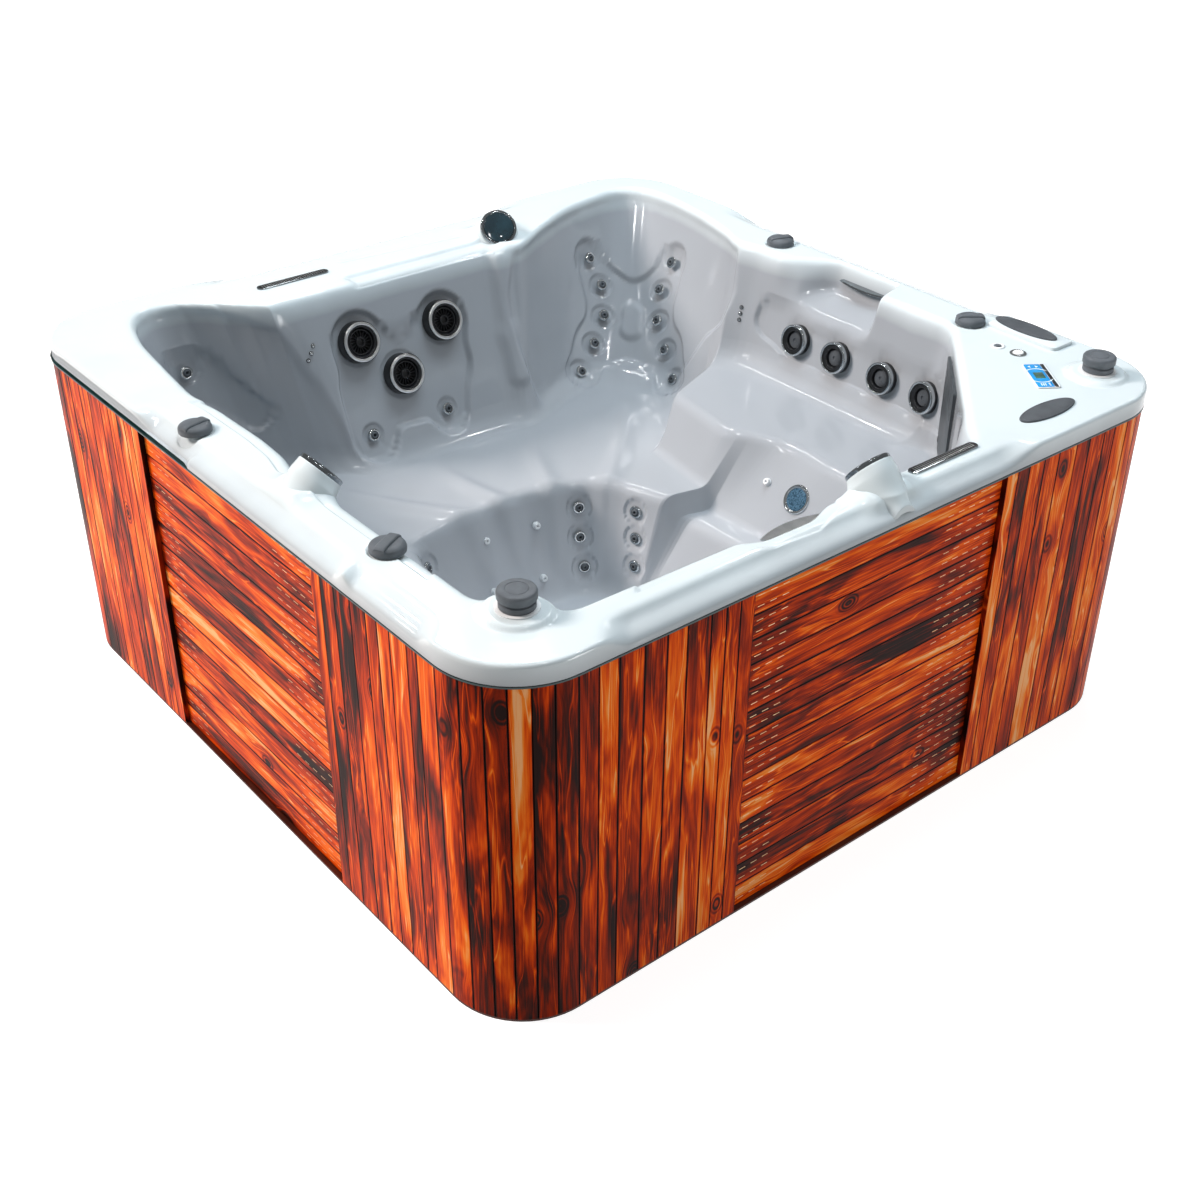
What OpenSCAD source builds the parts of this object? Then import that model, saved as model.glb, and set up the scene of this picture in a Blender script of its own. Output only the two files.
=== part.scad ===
/* [Overall] */
// Width across the right and left sides
tub_w = 2120; // [2000:10:2300]
// Length across the front and far sides
tub_l = 2120; // [2000:10:2300]
// Outer corner radius of the shell lip
corner_r = 200; // [160:5:240]
// Height of the rim top above the floor
rim_z = 936; // [920:2:960]
// Height of the lip's outer face
lip_h = 48; // [42:2:60]

/* [Shell] */
// Shell thickness, acrylic with its backing
shell_t = 9; // [8:0.5:10]
// Rim width on the right side
rim_right = 185; // [175:5:195]
// Rim width on the far side
rim_far = 290; // [280:5:295]
// Rim width on the left side
rim_left = 155; // [150:5:165]
// Rim width on the near side
rim_near = 130; // [125:5:140]
// How far the lip's shoulder drops between the corners
shoulder_drop = 14; // [4:1:18]
// Depth of the low benches below the rim
bench_depth = 486; // [476:5:496]
// Depth of the raised right seat below the rim
raised_depth = 336; // [326:5:346]
// Depth of the entry step below the rim
step_depth = 551; // [541:5:566]
// Height of the footwell floor
floor_z = 120; // [110:5:130]
// Outer diameter of a lamp pod
pod_d = 112; // [108:1:118]
// Tilt of the lamp pods above level
pod_tilt = 40; // [35:1:45]
// Depth of the two waterfall scoops in the rim
scoop = 92; // [80:2:100]

/* [Cabinet] */
// Thickness of the timber boards
board_t = 16; // [14:1:18]
// Gap between neighbouring boards
board_gap = 1; // [0.6:0.2:1.6]
// Width of the removable panel in the middle of each side
panel_w = 800; // [760:10:840]
// Number of level boards in each side panel
board_rows = 9; // [8:1:10]
// How far the side panels sit back from the corner boards
panel_step = 13; // [10:1:15]
// Width of the trim strip that closes each corner's ends
trim_w = 40; // [34:2:46]
// Thickness of the battens behind the boards
batten_t = 20; // [18:1:22]
// Thickness of the dark gasket under the lip
gasket_t = 4; // [3:0.5:6]
// Thickness of the base pan's floor
pan_t = 6; // [5:0.5:8]
// Depth of the timber frame's members
frame_t = 40; // [38:1:45]

/* [Jets] */
// Outer diameter of a large jet
large_d = 118; // [114:1:122]
// Outer diameter of a medium jet
medium_d = 92; // [88:1:96]
// Outer diameter of a small jet's flange
small_d = 36; // [34:1:40]
// Depth of the flat seat that is pressed into the shell behind a jet
seat_depth = 4; // [3:0.5:4.5]
// Running gap around each turning piece
run_gap = 0.4; // [0.3:0.05:0.6]

/* [Controls] */
// Diameter of a diverter knob's cap
diverter_d = 82; // [78:1:88]
// Height of a diverter knob
diverter_h = 40; // [36:1:44]
// Diameter of an air knob
air_d = 80; // [76:1:84]
// Height of an air knob
air_h = 22; // [20:1:26]
// Length of an oval speaker cover
oval_l = 196; // [190:2:204]
// Width of an oval speaker cover
oval_w = 64; // [60:2:70]
// Rise of a speaker when it is up
speaker_rise = 60; // [50:5:70]
// Travel of a push button
button_travel = 3; // [2:0.5:3.5]

/* [Hidden] */
$fn = 48;
hw = tub_w / 2;
hl = tub_l / 2;
lip_z = rim_z - lip_h;
bench_z = rim_z - bench_depth;
raised_z = rim_z - raised_depth;
step_z = rim_z - step_depth;
right_in = hw - rim_right;
far_in = hl - rim_far;
left_in = hw - rim_left;
near_in = hl - rim_near;

// How far the backrests curve in below the rim, and where the lip's shoulder starts and ends
brow_z = 150;
shoulder_runs = [300, 560];
// Outline of the rim's inner edge, counter-clockwise from the control deck's right end
edge = [[right_in, 585 - hl], [right_in, 260], [right_in - 20, 352], [hw - 165, 430], [hw - 120, 600],
    [hw - 98, 760], [hw - 105, 890], [hw - 170, hl - 118], [hw - 255, hl - 130], [660, hl - 160],
    [505, hl - 235], [350, far_in - 40], [250, far_in], [-535, far_in], [-560, hl - 250],
    [-600, hl - 170], [-660, hl - 130], [-730, hl - 100], [-790, hl - 118], [-830, hl - 185],
    [-862, hl - 300], [-890, 526], [-left_in, 370], [-left_in, -795], [65 - left_in, -800],
    [105 - left_in, -840], [110 - left_in, -near_in], [hw - 660, -near_in - 15],
    [hw - 605, 50 - near_in]];
// Outline where the backrests meet the seats
junction = [[808, -535], [800, -480], [800, 200], [770, 262], [690, 330], [690, 520], [620, 620], [520, 660],
    [420, 640], [300, 590], [242, 548], [190, 575], [80, 585], [-346, 588], [-400, 640],
    [-470, 720], [-640, 800], [-740, 740], [-780, 560], [-760, 300], [-755, 150], [-740, -600],
    [-660, -740], [-560, -785], [420, -785], [500, -827]];
// Outline of the raised seat's front, carried round inside the low benches
knee = [[520, -640], [513, -415], [527, -315], [520, -217], [451, -68], [468, 55], [495, 203],
    [470, 400], [380, 480], [230, 480], [-300, 480], [-560, 560], [-640, 400], [-650, -500],
    [-540, -660], [350, -660], [440, -680]];
// Outline of the foot of the raised seat's front
riser = [[410, -560], [385, -400], [378, -306], [372, -215], [368, -90], [372, -37], [405, 167],
    [340, 320], [230, 370], [60, 380], [-300, 380], [-480, 420], [-560, 300], [-560, -450],
    [-450, -580], [300, -580], [370, -580]];
// Outline of the benches' front edge above the footwell
front = [[310, -400], [300, -280], [297, -89], [241, -63], [212, 24], [184, 114], [131, 157],
    [48, 193], [-47, 210], [-256, 210], [-454, 172], [-480, 60], [-480, -360], [-400, -470],
    [-250, -500], [230, -500], [290, -460]];
// Outline of the footwell's floor
foot = [[230, -360], [232, -280], [215, -150], [160, -50], [150, 20], [120, 70], [80, 100],
    [20, 120], [-60, 130], [-250, 125], [-380, 90], [-400, 20], [-400, -330], [-330, -400],
    [-200, -420], [170, -420], [215, -390]];
// Directions of the mesh's spokes: start, end and step in degrees
bands = [[-90, -66, 6], [-66, -58, 2], [-58, -32, 4], [-32, -18, 2.8], [-18, -10, 2], [-10, 20, 5],
    [20, 26, 1.5], [26, 40, 3.5], [40, 50, 2], [50, 62, 3], [62, 68, 2], [68, 118, 5], [118, 140, 2],
    [140, 215, 5], [215, 232, 2], [232, 270, 4.75]];
spokes = [for (b = bands) each [b[0]:b[2]:b[1] - 0.1]];

// Jet places: direction from the tub's middle, height above the floor
large_jets = [[109, rim_z - 152], [87, rim_z - 158], [101, rim_z - 266]];
medium_row = rim_z - 208;
medium_jets = [for (a = [3, -8, -19.5, -28.6]) [a, medium_row]];
back_rows = [rim_z - 158, rim_z - 237, rim_z - 316, bench_z + 103, bench_z + 38];
wall_jets = [[128, rim_z - 182], [50, back_rows[0]], [48, back_rows[1]], [47.5, back_rows[2]],
    [49, back_rows[3]], [51.5, back_rows[4]], [37, back_rows[0]], [38.5, back_rows[1]],
    [38.2, back_rows[2]], [35.8, back_rows[3]], [32.8, back_rows[4]], [113.5, bench_z + 85],
    [91, bench_z + 91]];
calf_jets = [[56, bench_z - 78], [55.5, bench_z - 164], [51, floor_z + 76], [6, bench_z - 70],
    [2, bench_z - 146], [-2, floor_z + 102], [160, bench_z - 82]];
nozzles = [[137, bench_z - 92], [99, bench_z - 103], [103.5, floor_z + 72], [144, floor_z + 92]];
suctions = [[262, floor_z + 70], [282, floor_z + 70]];
led_rows = [[119, rim_z - 146], [70.5, rim_z - 152], [18, rim_z - 193]];
led_pitch = 22;
lamp = [-38.5, step_z + 115];
sensor = [-28, step_z + 118];
// Lamp pods: lens centre, and the direction that it faces
pods = [[[316, hl - 255, rim_z + 34], 250], [[178 - hw, -180, rim_z + 30], 0],
    [[50, 130 - hl, rim_z + 38], 90]];
diverters = [[194 - hw, 188 - hl], [hw - 140, 152 - hl]];
air_controls = [[69 - hw, 215], [125 - hw, 540 - hl], [hw - 110, 250], [hw - 131, 566 - hl]];
ovals = [[hw - 66, 433 - hl, 90], [hw - 405, 100 - hl, 0]];
buttons = [[hw - 198, 418 - hl], [hw - 192, 357 - hl]];
panel_at = [hw - 260, 231 - hl];
strips = [[-338, hl - 166], [268, 92 - hl]];
strip_l = 226;
strip_w = 28;
// Waterfall scoops: direction, half width in degrees, and depth
scoops = [[-5.2, 6, scoop], [257, 5.5, 22]];
// Filter niche behind the control deck's wall
skim_at = [hw - 338, 441 - hl];
skim_dir = -46.5;
skim_w = 206;
skim_h = 226;
skim_z = rim_z - 294;
skim_depth = 190;
skim_wall = 4;
cover_t = 12;
// How far the niche's cover passes the opening at the sides, below and above
cover_side = 16;
cover_low = 18;
cover_high = 20;
// Moulded rings under the diverter knobs and plate under the right speaker
pedestal_d = 140;
pedestal_h = 10;
valve_h = 150;
plate_h = 9;
// Chromed waterfall blades: middle of the arc and the way that each faces
lip_r = 240;
lip_depth = 36;
lip_t = 6;
lip_drop = 48;
lip_at = [[hw + 122, -80, 180], [-165, -78 - hl, 90]];
lip_sweep = 44;
pod_len = 110;
pod_wall = 7;
lens_d = pod_d - 2 * pod_wall - 5.4;
button_sizes = [[36, 28, 18], [44, 36, 28]];
panel_turn = 55;
panel_l = 140;
panel_wide = 60;
// Cabinet
rail_in = board_t + 4.2 + batten_t;
rail_h = 60;
cab_h = lip_z - gasket_t - pan_t - 0.2;
gasket_w = 31;
stud_w = 60;
curve_boards = 4;
straight_count = 5;
bench_props = [[-560, 430, bench_z], [-620, -300, bench_z], [-300, -640, bench_z],
    [80, 430, bench_z], [500, 380, bench_z], [640, 0, raised_z], [640, -380, raised_z]];
foot_props = [[-220, 40], [-220, -280], [90, -280], [40, 40]];

function cross2(p, q) = p[0] * q[1] - p[1] * q[0];
function unit(v) = v / max(0.000001, norm(v));
function ramp(a, a0, a1) = min(1, max(0, (a - a0) / (a1 - a0)));
function hump(a, mid, half) = let (t = abs(a - mid) / half) t >= 1 ? 0 : (1 + cos(180 * t)) / 2;
function hit(p, q, d) =
    let (e = q - p, den = cross2(d, e))
    abs(den) < 0.000001 ? 0 :
    let (t = cross2(p, e) / den, s = cross2(p, d) / den)
    s >= -0.00001 && s <= 1.00001 && t > 0 ? t : 0;
function reach(outline, a) =
    let (d = [cos(a), sin(a)], n = len(outline))
    max([for (i = [0:n - 1]) hit(outline[i], outline[(i + 1) % n], d)]);
function soft(outline, a, w) =
    0.15 * reach(outline, a - w) + 0.2 * reach(outline, a - w / 2) + 0.3 * reach(outline, a)
    + 0.2 * reach(outline, a + w / 2) + 0.15 * reach(outline, a + w);
// Distance from the middle to the lip, less an inset
function outer(a, inset) =
    let (x = hw - inset, y = hl - inset, r = corner_r - inset / 2,
        c = max(0.000001, abs(cos(a))), s = max(0.000001, abs(sin(a))),
        flat = min(x / c, y / s), cx = x - r, cy = y - r,
        b = cx * c + cy * s, disc = b * b - cx * cx - cy * cy + r * r)
    flat * c > cx && flat * s > cy && disc > 0 ? b + sqrt(disc) : flat;
function shoulder_z(a) =
    let (r = outer(a, 0), m = min(abs(r * cos(a)), abs(r * sin(a))))
    rim_z - shoulder_drop * (1 - ramp(m, hw - shoulder_runs[1], hw - shoulder_runs[0]));
function seat_level(a) = bench_z + (raised_z - bench_z) * ramp(a, -66, -60) * (1 - ramp(a, 21, 24));
function pad_level(a) = bench_z + (step_z - bench_z) * ramp(a, -66, -60) * (1 - ramp(a, -16, -13));
function rim_edge(a) =
    soft(edge, a, 1.6) + scoops[0][2] * hump(a, scoops[0][0], scoops[0][1])
    + scoops[1][2] * hump(a, scoops[1][0], scoops[1][1]);
// A point of the backrest at a given height, as distance from the middle
function wall_r(a, z) =
    let (e = soft(edge, a, 1.6), j = soft(junction, a, 3), s = seat_level(a))
    j + (e - j) * (z - s) / (rim_z - s);
function riser_r(a, z) =
    let (k = soft(knee, a, 3), l = soft(riser, a, 3))
    l + (k - l) * (z - pad_level(a)) / (seat_level(a) - pad_level(a));
function calf_r(a, z) =
    let (f = soft(front, a, 3), g = soft(foot, a, 5))
    g + (f - g) * (z - floor_z) / (pad_level(a) - floor_z);
function corners(a) =
    [[outer(a, 0), lip_z, 0], [outer(a, 6), shoulder_z(a), 26], [outer(a, 46), rim_z, 24],
    [rim_edge(a), rim_z, 16], [wall_r(a, rim_z - brow_z), rim_z - brow_z, 40],
    [soft(junction, a, 3), seat_level(a), 70 - 52 * ramp(a, -64, -60) * (1 - ramp(a, -34, -31))],
    [soft(knee, a, 3), seat_level(a), 30],
    [soft(riser, a, 3), pad_level(a), 20], [soft(front, a, 3), pad_level(a), 35],
    [soft(foot, a, 5), floor_z, 60], [20, floor_z, 0]];
steps = [1, 2, 1, 2, 1, 2, 2, 1, 2, 2, 1];
function bend(p, q, r, f, n) =
    let (u = q + unit(p - q) * min(f, 0.45 * norm(p - q)),
        v = q + unit(r - q) * min(f, 0.45 * norm(r - q)))
    [for (i = [0:n]) let (t = i / n) u * (1 - t) * (1 - t) + q * 2 * t * (1 - t) + v * t * t];
function profile(a) =
    let (c = corners(a), m = len(c) - 1, q = [for (p = c) [p[0], p[1]]])
    concat([q[0]], [for (i = [1:m - 1]) each bend(q[i - 1], q[i], q[i + 1], c[i][2], steps[i])],
        [q[m]]);
function under(pr) =
    let (n = len(pr) - 1)
    [for (i = [0:n])
        let (t = unit(pr[min(n, i + 1)] - pr[max(0, i - 1)]))
        i == n ? pr[i] - [0, shell_t] :
        i == 0 ? pr[i] - [shell_t, 0] :
        pr[i] + [-t[1], t[0]] * shell_t];
function place(r, a, z) = [r * cos(a), r * sin(a), z];

// Frame on the surface: 0 is a backrest, 1 the raised seat's front, 2 the footwell's wall
function surf_r(kind, a, z) = kind == 0 ? wall_r(a, z) : kind == 1 ? riser_r(a, z) : calf_r(a, z);
function surf(kind, p) = place(surf_r(kind, p[0], p[1]), p[0], p[1]);
function facing(kind, p) =
    -unit(cross(surf(kind, p + [1, 0]) - surf(kind, p - [1, 0]),
        surf(kind, p + [0, 10]) - surf(kind, p - [0, 10])));

module on_surface(kind, p) {
    n = facing(kind, p);
    translate(surf(kind, p))
    rotate([0, acos(n[2]), atan2(n[1], n[0])])
    children();
}

module at_pod(p) {
    translate(p[0])
    rotate([0, 90 - pod_tilt, p[1]])
    children();
}

module seat_and_bore(seat_d, bore_d) {
    translate([0, 0, -seat_depth]) cylinder(d = seat_d, h = 60);
    translate([0, 0, -60]) cylinder(d = bore_d, h = 100);
}

module oval(l, w, h) {
    linear_extrude(h)
    polygon([for (i = [0:35]) [l / 2 * cos(i * 10), w / 2 * sin(i * 10)]]);
}

module rounded_plate(inset, h) {
    r = corner_r - inset;
    x = hw - inset - r;
    y = hl - inset - r;
    linear_extrude(h)
    union() {
        square([2 * x + 2 * r, 2 * y], center = true);
        square([2 * x, 2 * y + 2 * r], center = true);
        for (sx = [-1, 1]) for (sy = [-1, 1])
            translate([sx * x, sy * y]) circle(r = r, $fn = 96);
    }
}

module ring(inset, width, h) {
    difference() {
        rounded_plate(inset, h);
        translate([0, 0, -1]) rounded_plate(inset + width, h + 2);
    }
}

module shell_blank() {
    tops = [for (a = spokes) profile(a)];
    n = len(spokes);
    m = len(tops[0]);
    lows = [for (p = tops) under(p)];
    points = concat(
        [for (i = [0:n - 1]) for (p = tops[i]) place(p[0], spokes[i], p[1])],
        [for (i = [0:n - 1]) for (p = lows[i]) place(p[0], spokes[i], p[1])]);
    o = n * m;
    faces = concat(
        [for (i = [0:n - 1]) for (j = [0:m - 2]) let (k = (i + 1) % n) each
            [[i * m + j, k * m + j + 1, k * m + j], [i * m + j, i * m + j + 1, k * m + j + 1]]],
        [for (i = [0:n - 1]) for (j = [0:m - 2]) let (k = (i + 1) % n) each
            [[o + i * m + j, o + k * m + j, o + k * m + j + 1],
            [o + i * m + j, o + k * m + j + 1, o + i * m + j + 1]]],
        [for (i = [0:n - 1]) let (k = (i + 1) % n) each
            [[i * m, k * m, o + k * m], [i * m, o + k * m, o + i * m]]],
        [[for (i = [0:n - 1]) i * m + m - 1]],
        [[for (i = [n - 1:-1:0]) o + i * m + m - 1]]);
    polyhedron(points, faces);
}

module lip_blade(grow) {
    rotate([0, 0, -lip_sweep / 2 - grow / 4])
    rotate_extrude(angle = lip_sweep + grow / 2)
    translate([lip_r - lip_depth - grow * 8, -grow])
    square([lip_depth + grow * 9, lip_t + 2 * grow]);
}

module at_lip(i) {
    translate([lip_at[i][0], lip_at[i][1], rim_z - lip_drop])
    rotate([0, 0, lip_at[i][2]])
    children();
}

module at_skimmer() {
    translate([skim_at[0], skim_at[1], 0])
    rotate([0, 0, skim_dir])
    children();
}

module at_oval(i, z) {
    translate([ovals[i][0], ovals[i][1], z])
    rotate([0, 0, ovals[i][2]])
    children();
}

module at_panel(z) {
    translate([panel_at[0], panel_at[1], z])
    rotate([0, 0, panel_turn])
    children();
}

module shell_openings() {
    for (p = large_jets) on_surface(0, p) seat_and_bore(large_d + 30, large_d - 26);
    for (p = medium_jets) on_surface(0, p) seat_and_bore(medium_d + 18, medium_d - 26);
    for (p = wall_jets) on_surface(0, p) seat_and_bore(small_d + 22, small_d - 10);
    for (p = calf_jets) on_surface(2, p) seat_and_bore(small_d + 22, small_d - 10);
    for (p = nozzles) on_surface(2, p) seat_and_bore(30, 15);
    on_surface(1, sensor) seat_and_bore(30, 15);
    on_surface(1, lamp) seat_and_bore(92, 70);
    for (p = suctions) on_surface(2, p) seat_and_bore(112, 60);
    for (p = led_rows) for (k = [-1, 0, 1]) on_surface(0, p + [0, k * led_pitch]) {
        translate([0, 0, -2]) cylinder(d = 13, h = 20, $fn = 24);
        translate([0, 0, -30]) cylinder(d = 8, h = 40, $fn = 24);
    }
    for (p = pods) at_pod(p) {
        cylinder(d = pod_d - 3, h = 30);
        translate([0, 0, 10 - pod_len]) cylinder(d = pod_d - 2 * pod_wall, h = pod_len);
    }
    for (p = diverters) translate([p[0], p[1], rim_z - 60]) cylinder(d = 70, h = 100);
    for (p = air_controls) translate([p[0], p[1], rim_z - seat_depth]) {
        cylinder(d = air_d + 6, h = 40);
        translate([0, 0, -40]) cylinder(d = 41, h = 60);
    }
    for (i = [0, 1]) at_oval(i, rim_z - 40) oval(oval_l + 1, oval_w + 1, 80);
    for (i = [0, 1]) translate([buttons[i][0], buttons[i][1], rim_z - 40])
        cylinder(d = button_sizes[i][1] + 1, h = 60);
    at_panel(rim_z - 1.5)
        translate([-panel_l / 2 - 0.5, -panel_wide / 2 - 0.5, 0])
        cube([panel_l + 1, panel_wide + 1, 30]);
    at_panel(rim_z - 40) cylinder(d = 30, h = 60);
    for (p = strips) translate([p[0], p[1], rim_z - 2]) {
        translate([-strip_l / 2 - 1, -strip_w / 2 - 1, 0]) cube([strip_l + 2, strip_w + 2, 30]);
        translate([-strip_l / 2 + 10, -8, -40]) cube([strip_l - 20, 16, 60]);
    }
    for (i = [0, 1]) at_lip(i) lip_blade(0.5);
    at_skimmer() {
        translate([-60, -skim_w / 2 - cover_side - 1, skim_z - cover_low - 1])
            cube([71, skim_w + 2 * cover_side + 2, skim_h + cover_low + cover_high + 2]);
        translate([-60, -skim_w / 2 - 0.5, skim_z - 0.5]) cube([100, skim_w + 1, skim_h + 1]);
    }
}

module acrylic_shell() {
    color("whitesmoke")
    difference() {
        union() {
            shell_blank();
            for (p = pods) at_pod(p) translate([0, 0, -pod_len]) cylinder(d = pod_d, h = pod_len);
            for (p = diverters) translate([p[0], p[1], rim_z - 4])
                cylinder(d1 = pedestal_d + 14, d2 = pedestal_d - 6, h = pedestal_h + 4);
            at_oval(0, rim_z - 8)
                translate([-oval_l / 2 - 14, -oval_w / 2 - 10, 0])
                cube([oval_l + 28, oval_w + 20, 8 + plate_h]);
        }
        shell_openings();
    }
}

module rim_gasket() {
    color("darkslategray")
    translate([0, 0, lip_z - gasket_t]) ring(1, gasket_w, gasket_t);
}

module base_pan() {
    color("dimgray")
    rounded_plate(4, pan_t);
}

module frame_rails() {
    color("burlywood")
    difference() {
        for (z = [pan_t, lip_z - gasket_t - rail_h])
            translate([0, 0, z]) ring(rail_in, frame_t, rail_h);
        for (i = [0, 1]) at_oval(i, lip_z - 60) oval(oval_l + 6, oval_w + 6, 90);
        for (p = pods) at_pod(p) translate([0, 0, -pod_len - 4]) cylinder(d = pod_d + 6, h = pod_len + 4);
        for (p = diverters) translate([p[0], p[1], lip_z - 2 * rail_h]) cylinder(d = 108, h = 2 * rail_h);
    }
}

module stud_at(x, y, turned) {
    translate([x, y, pan_t + rail_h])
    rotate([0, 0, turned ? 90 : 0])
    translate([-stud_w / 2, -frame_t / 2, 0])
    cube([stud_w, frame_t, cab_h - 2 * rail_h]);
}

module frame_studs() {
    in_x = hw - rail_in - frame_t / 2;
    in_y = hl - rail_in - frame_t / 2;
    color("burlywood")
    union() {
        for (x = [-panel_w / 2, panel_w / 2]) stud_at(x, -in_y, false);
        for (x = [-panel_w / 2, 0, panel_w / 2]) stud_at(x, in_y, false);
        for (sx = [-1, 1]) for (y = [-panel_w / 2, 0, panel_w / 2]) stud_at(sx * in_x, y, true);
    }
}

module shell_props() {
    color("tan")
    union() {
        for (p = bench_props)
            translate([p[0] - 40, p[1] - 40, pan_t]) cube([80, 80, p[2] - shell_t - pan_t]);
        for (p = foot_props)
            translate([p[0] - 50, p[1] - 50, pan_t]) cube([100, 100, floor_z - shell_t - pan_t]);
    }
}

module straight_boards(run) {
    pitch = (run - trim_w) / straight_count;
    cube([trim_w - board_gap, board_t, cab_h]);
    for (i = [0:straight_count - 1])
        translate([trim_w + i * pitch, 0, 0]) cube([pitch - board_gap, board_t, cab_h]);
}

module curved_boards() {
    turn = 90 / curve_boards;
    gap = board_gap * 180 / PI / (corner_r - 4);
    for (i = [0:curve_boards - 1])
        rotate([0, 0, i * turn])
        rotate_extrude(angle = turn - gap)
        translate([corner_r - 4 - board_t, 0]) square([board_t, cab_h]);
}

// One corner's boards, drawn for the corner where both sides are positive
module corner_set() {
    translate([hw - corner_r, hl - corner_r, 0]) curved_boards();
    translate([panel_w / 2, hl - 4 - board_t, 0]) straight_boards(hw - corner_r - panel_w / 2);
    translate([hw - 4 - board_t, panel_w / 2, 0])
        translate([board_t, 0, 0]) rotate([0, 0, 90])
        straight_boards(hl - corner_r - panel_w / 2);
}

module corner_boards() {
    color("sienna")
    translate([0, 0, pan_t])
    for (sx = [0, 1]) for (sy = [0, 1])
        mirror([sx, 0, 0]) mirror([0, sy, 0]) corner_set();
}

module batten_set(h) {
    r = corner_r - 4 - board_t;
    translate([hw - corner_r, hl - corner_r, 0])
        rotate_extrude(angle = 90) translate([r - batten_t, 0]) square([batten_t - 0.1, h]);
    translate([panel_w / 2 + 1, hl - 4 - board_t - batten_t, 0])
        cube([hw - corner_r - panel_w / 2 - 2, batten_t - 0.1, h]);
    translate([hw - 4 - board_t - batten_t, panel_w / 2 + 1, 0])
        cube([batten_t - 0.1, hl - corner_r - panel_w / 2 - 2, h]);
}

module corner_battens() {
    color("burlywood")
    for (z = [pan_t + 20, pan_t + cab_h / 2 - 30, pan_t + cab_h - 104])
        translate([0, 0, z])
        for (sx = [0, 1]) for (sy = [0, 1])
            mirror([sx, 0, 0]) mirror([0, sy, 0]) batten_set(60);
}

// Level boards on two upright battens, drawn facing +Y from its middle
module panel_boards(half) {
    pitch = (cab_h - 4) / board_rows;
    back = half - 4 - panel_step - board_t;
    for (i = [0:board_rows - 1])
        translate([-panel_w / 2 + 1, back, pan_t + 0.5 + i * pitch])
        cube([panel_w - 2, board_t, pitch - board_gap]);
    for (x = [-panel_w / 2 + 70, panel_w / 2 - 110])
        translate([x, half - rail_in + 0.5, pan_t + 4])
        cube([40, back - half + rail_in - 0.5, cab_h - 12]);
}

module side_panels() {
    color("chocolate")
    union() {
        panel_boards(hl);
        rotate([0, 0, 90]) panel_boards(hw);
        rotate([0, 0, -90]) panel_boards(hw);
    }
}

module service_panel() {
    color("chocolate")
    rotate([0, 0, 180]) panel_boards(hl);
}

// Jet parts, drawn with +Z out of the wall and 0 on the surface
module jet_housing(d, deep) {
    cavity = d - 36;
    difference() {
        union() {
            translate([0, 0, -seat_depth]) cylinder(d = d, h = seat_depth + 4);
            translate([0, 0, -deep]) cylinder(d = d - 28, h = deep);
            translate([0, 0, -deep - 34]) cylinder(d = 26, h = 36);
        }
        difference() {
            translate([0, 0, -deep + 12]) cylinder(d = cavity, h = deep);
            translate([0, 0, -deep]) cylinder(d = 9, h = deep - 0.5);
        }
        translate([0, 0, -deep - 40]) cylinder(d = 18, h = 46);
    }
}

module jet_bezel(d) {
    inner = d / 2 - 18 - run_gap - 0.3;
    color("silver")
    rotate_extrude($fn = 64)
    polygon([[inner - 3, -10], [inner, -10], [inner, 4 + run_gap], [d / 2, 4 + run_gap],
        [d / 2, 16], [d / 2 - 5, 21], [inner + 2, 21], [inner - 3, 15]]);
}

module jet_rotor(d) {
    rim = d / 2 - 21 - 2 * run_gap - 0.3;
    color("black")
    difference() {
        union() {
            translate([0, 0, -12]) cylinder(d = 22, h = 22);
            difference() {
                translate([0, 0, -6]) cylinder(r = rim, h = 16);
                translate([0, 0, -7]) cylinder(r = rim - 4, h = 20);
            }
            for (i = [0:11]) rotate([0, 0, i * 30])
                translate([9, -1, -4]) cube([rim - 11, 2, 12]);
        }
        translate([0, 0, -13]) cylinder(d = 9 + 2 * run_gap, h = 13);
    }
}

module large_jet_housings() {
    color("dimgray")
    for (p = large_jets) on_surface(0, p) jet_housing(large_d, 60);
}

module medium_jet_housings() {
    color("dimgray")
    for (p = medium_jets) on_surface(0, p) jet_housing(medium_d, 44);
}

module small_jet() {
    color("silver")
    difference() {
        union() {
            translate([0, 0, -seat_depth]) cylinder(d = small_d, h = seat_depth + 2);
            translate([0, 0, -45]) cylinder(d = small_d - 10.6, h = 45);
            translate([0, 0, -64]) cylinder(d = 17, h = 20);
        }
        translate([0, 0, -30]) cylinder(d = 15, h = 40);
        translate([0, 0, -70]) cylinder(d = 10, h = 50);
    }
    color("gray")
    difference() {
        translate([0, 0, -30]) cylinder(d = 14.2, h = 35);
        translate([0, 0, -31]) cylinder(d = 7, h = 40);
    }
}

module small_jets() {
    for (p = wall_jets) on_surface(0, p) small_jet();
    for (p = calf_jets) on_surface(2, p) small_jet();
}

module nozzle() {
    translate([0, 0, -seat_depth]) cylinder(d = 22, h = seat_depth + 4);
    translate([0, 0, -40]) cylinder(d = 14.4, h = 40);
}

module air_nozzles() {
    color("white")
    union() {
        for (p = nozzles) on_surface(2, p) nozzle();
        on_surface(1, sensor) nozzle();
    }
}

module led_studs() {
    color("silver")
    for (p = led_rows) for (k = [-1, 0, 1]) on_surface(0, p + [0, k * led_pitch]) {
        translate([0, 0, -2]) cylinder(d = 12, h = 5);
        translate([0, 0, -22]) cylinder(d = 7.4, h = 21);
    }
}

module lamp_cup(d, flange, deep) {
    difference() {
        union() {
            cylinder(d = flange, h = 4);
            translate([0, 0, -deep]) cylinder(d = d, h = deep + 1);
        }
        translate([0, 0, -deep + 4]) cylinder(d = d - 12, h = deep);
        translate([0, 0, -2]) cylinder(d = d - 4, h = 10);
    }
}

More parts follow.
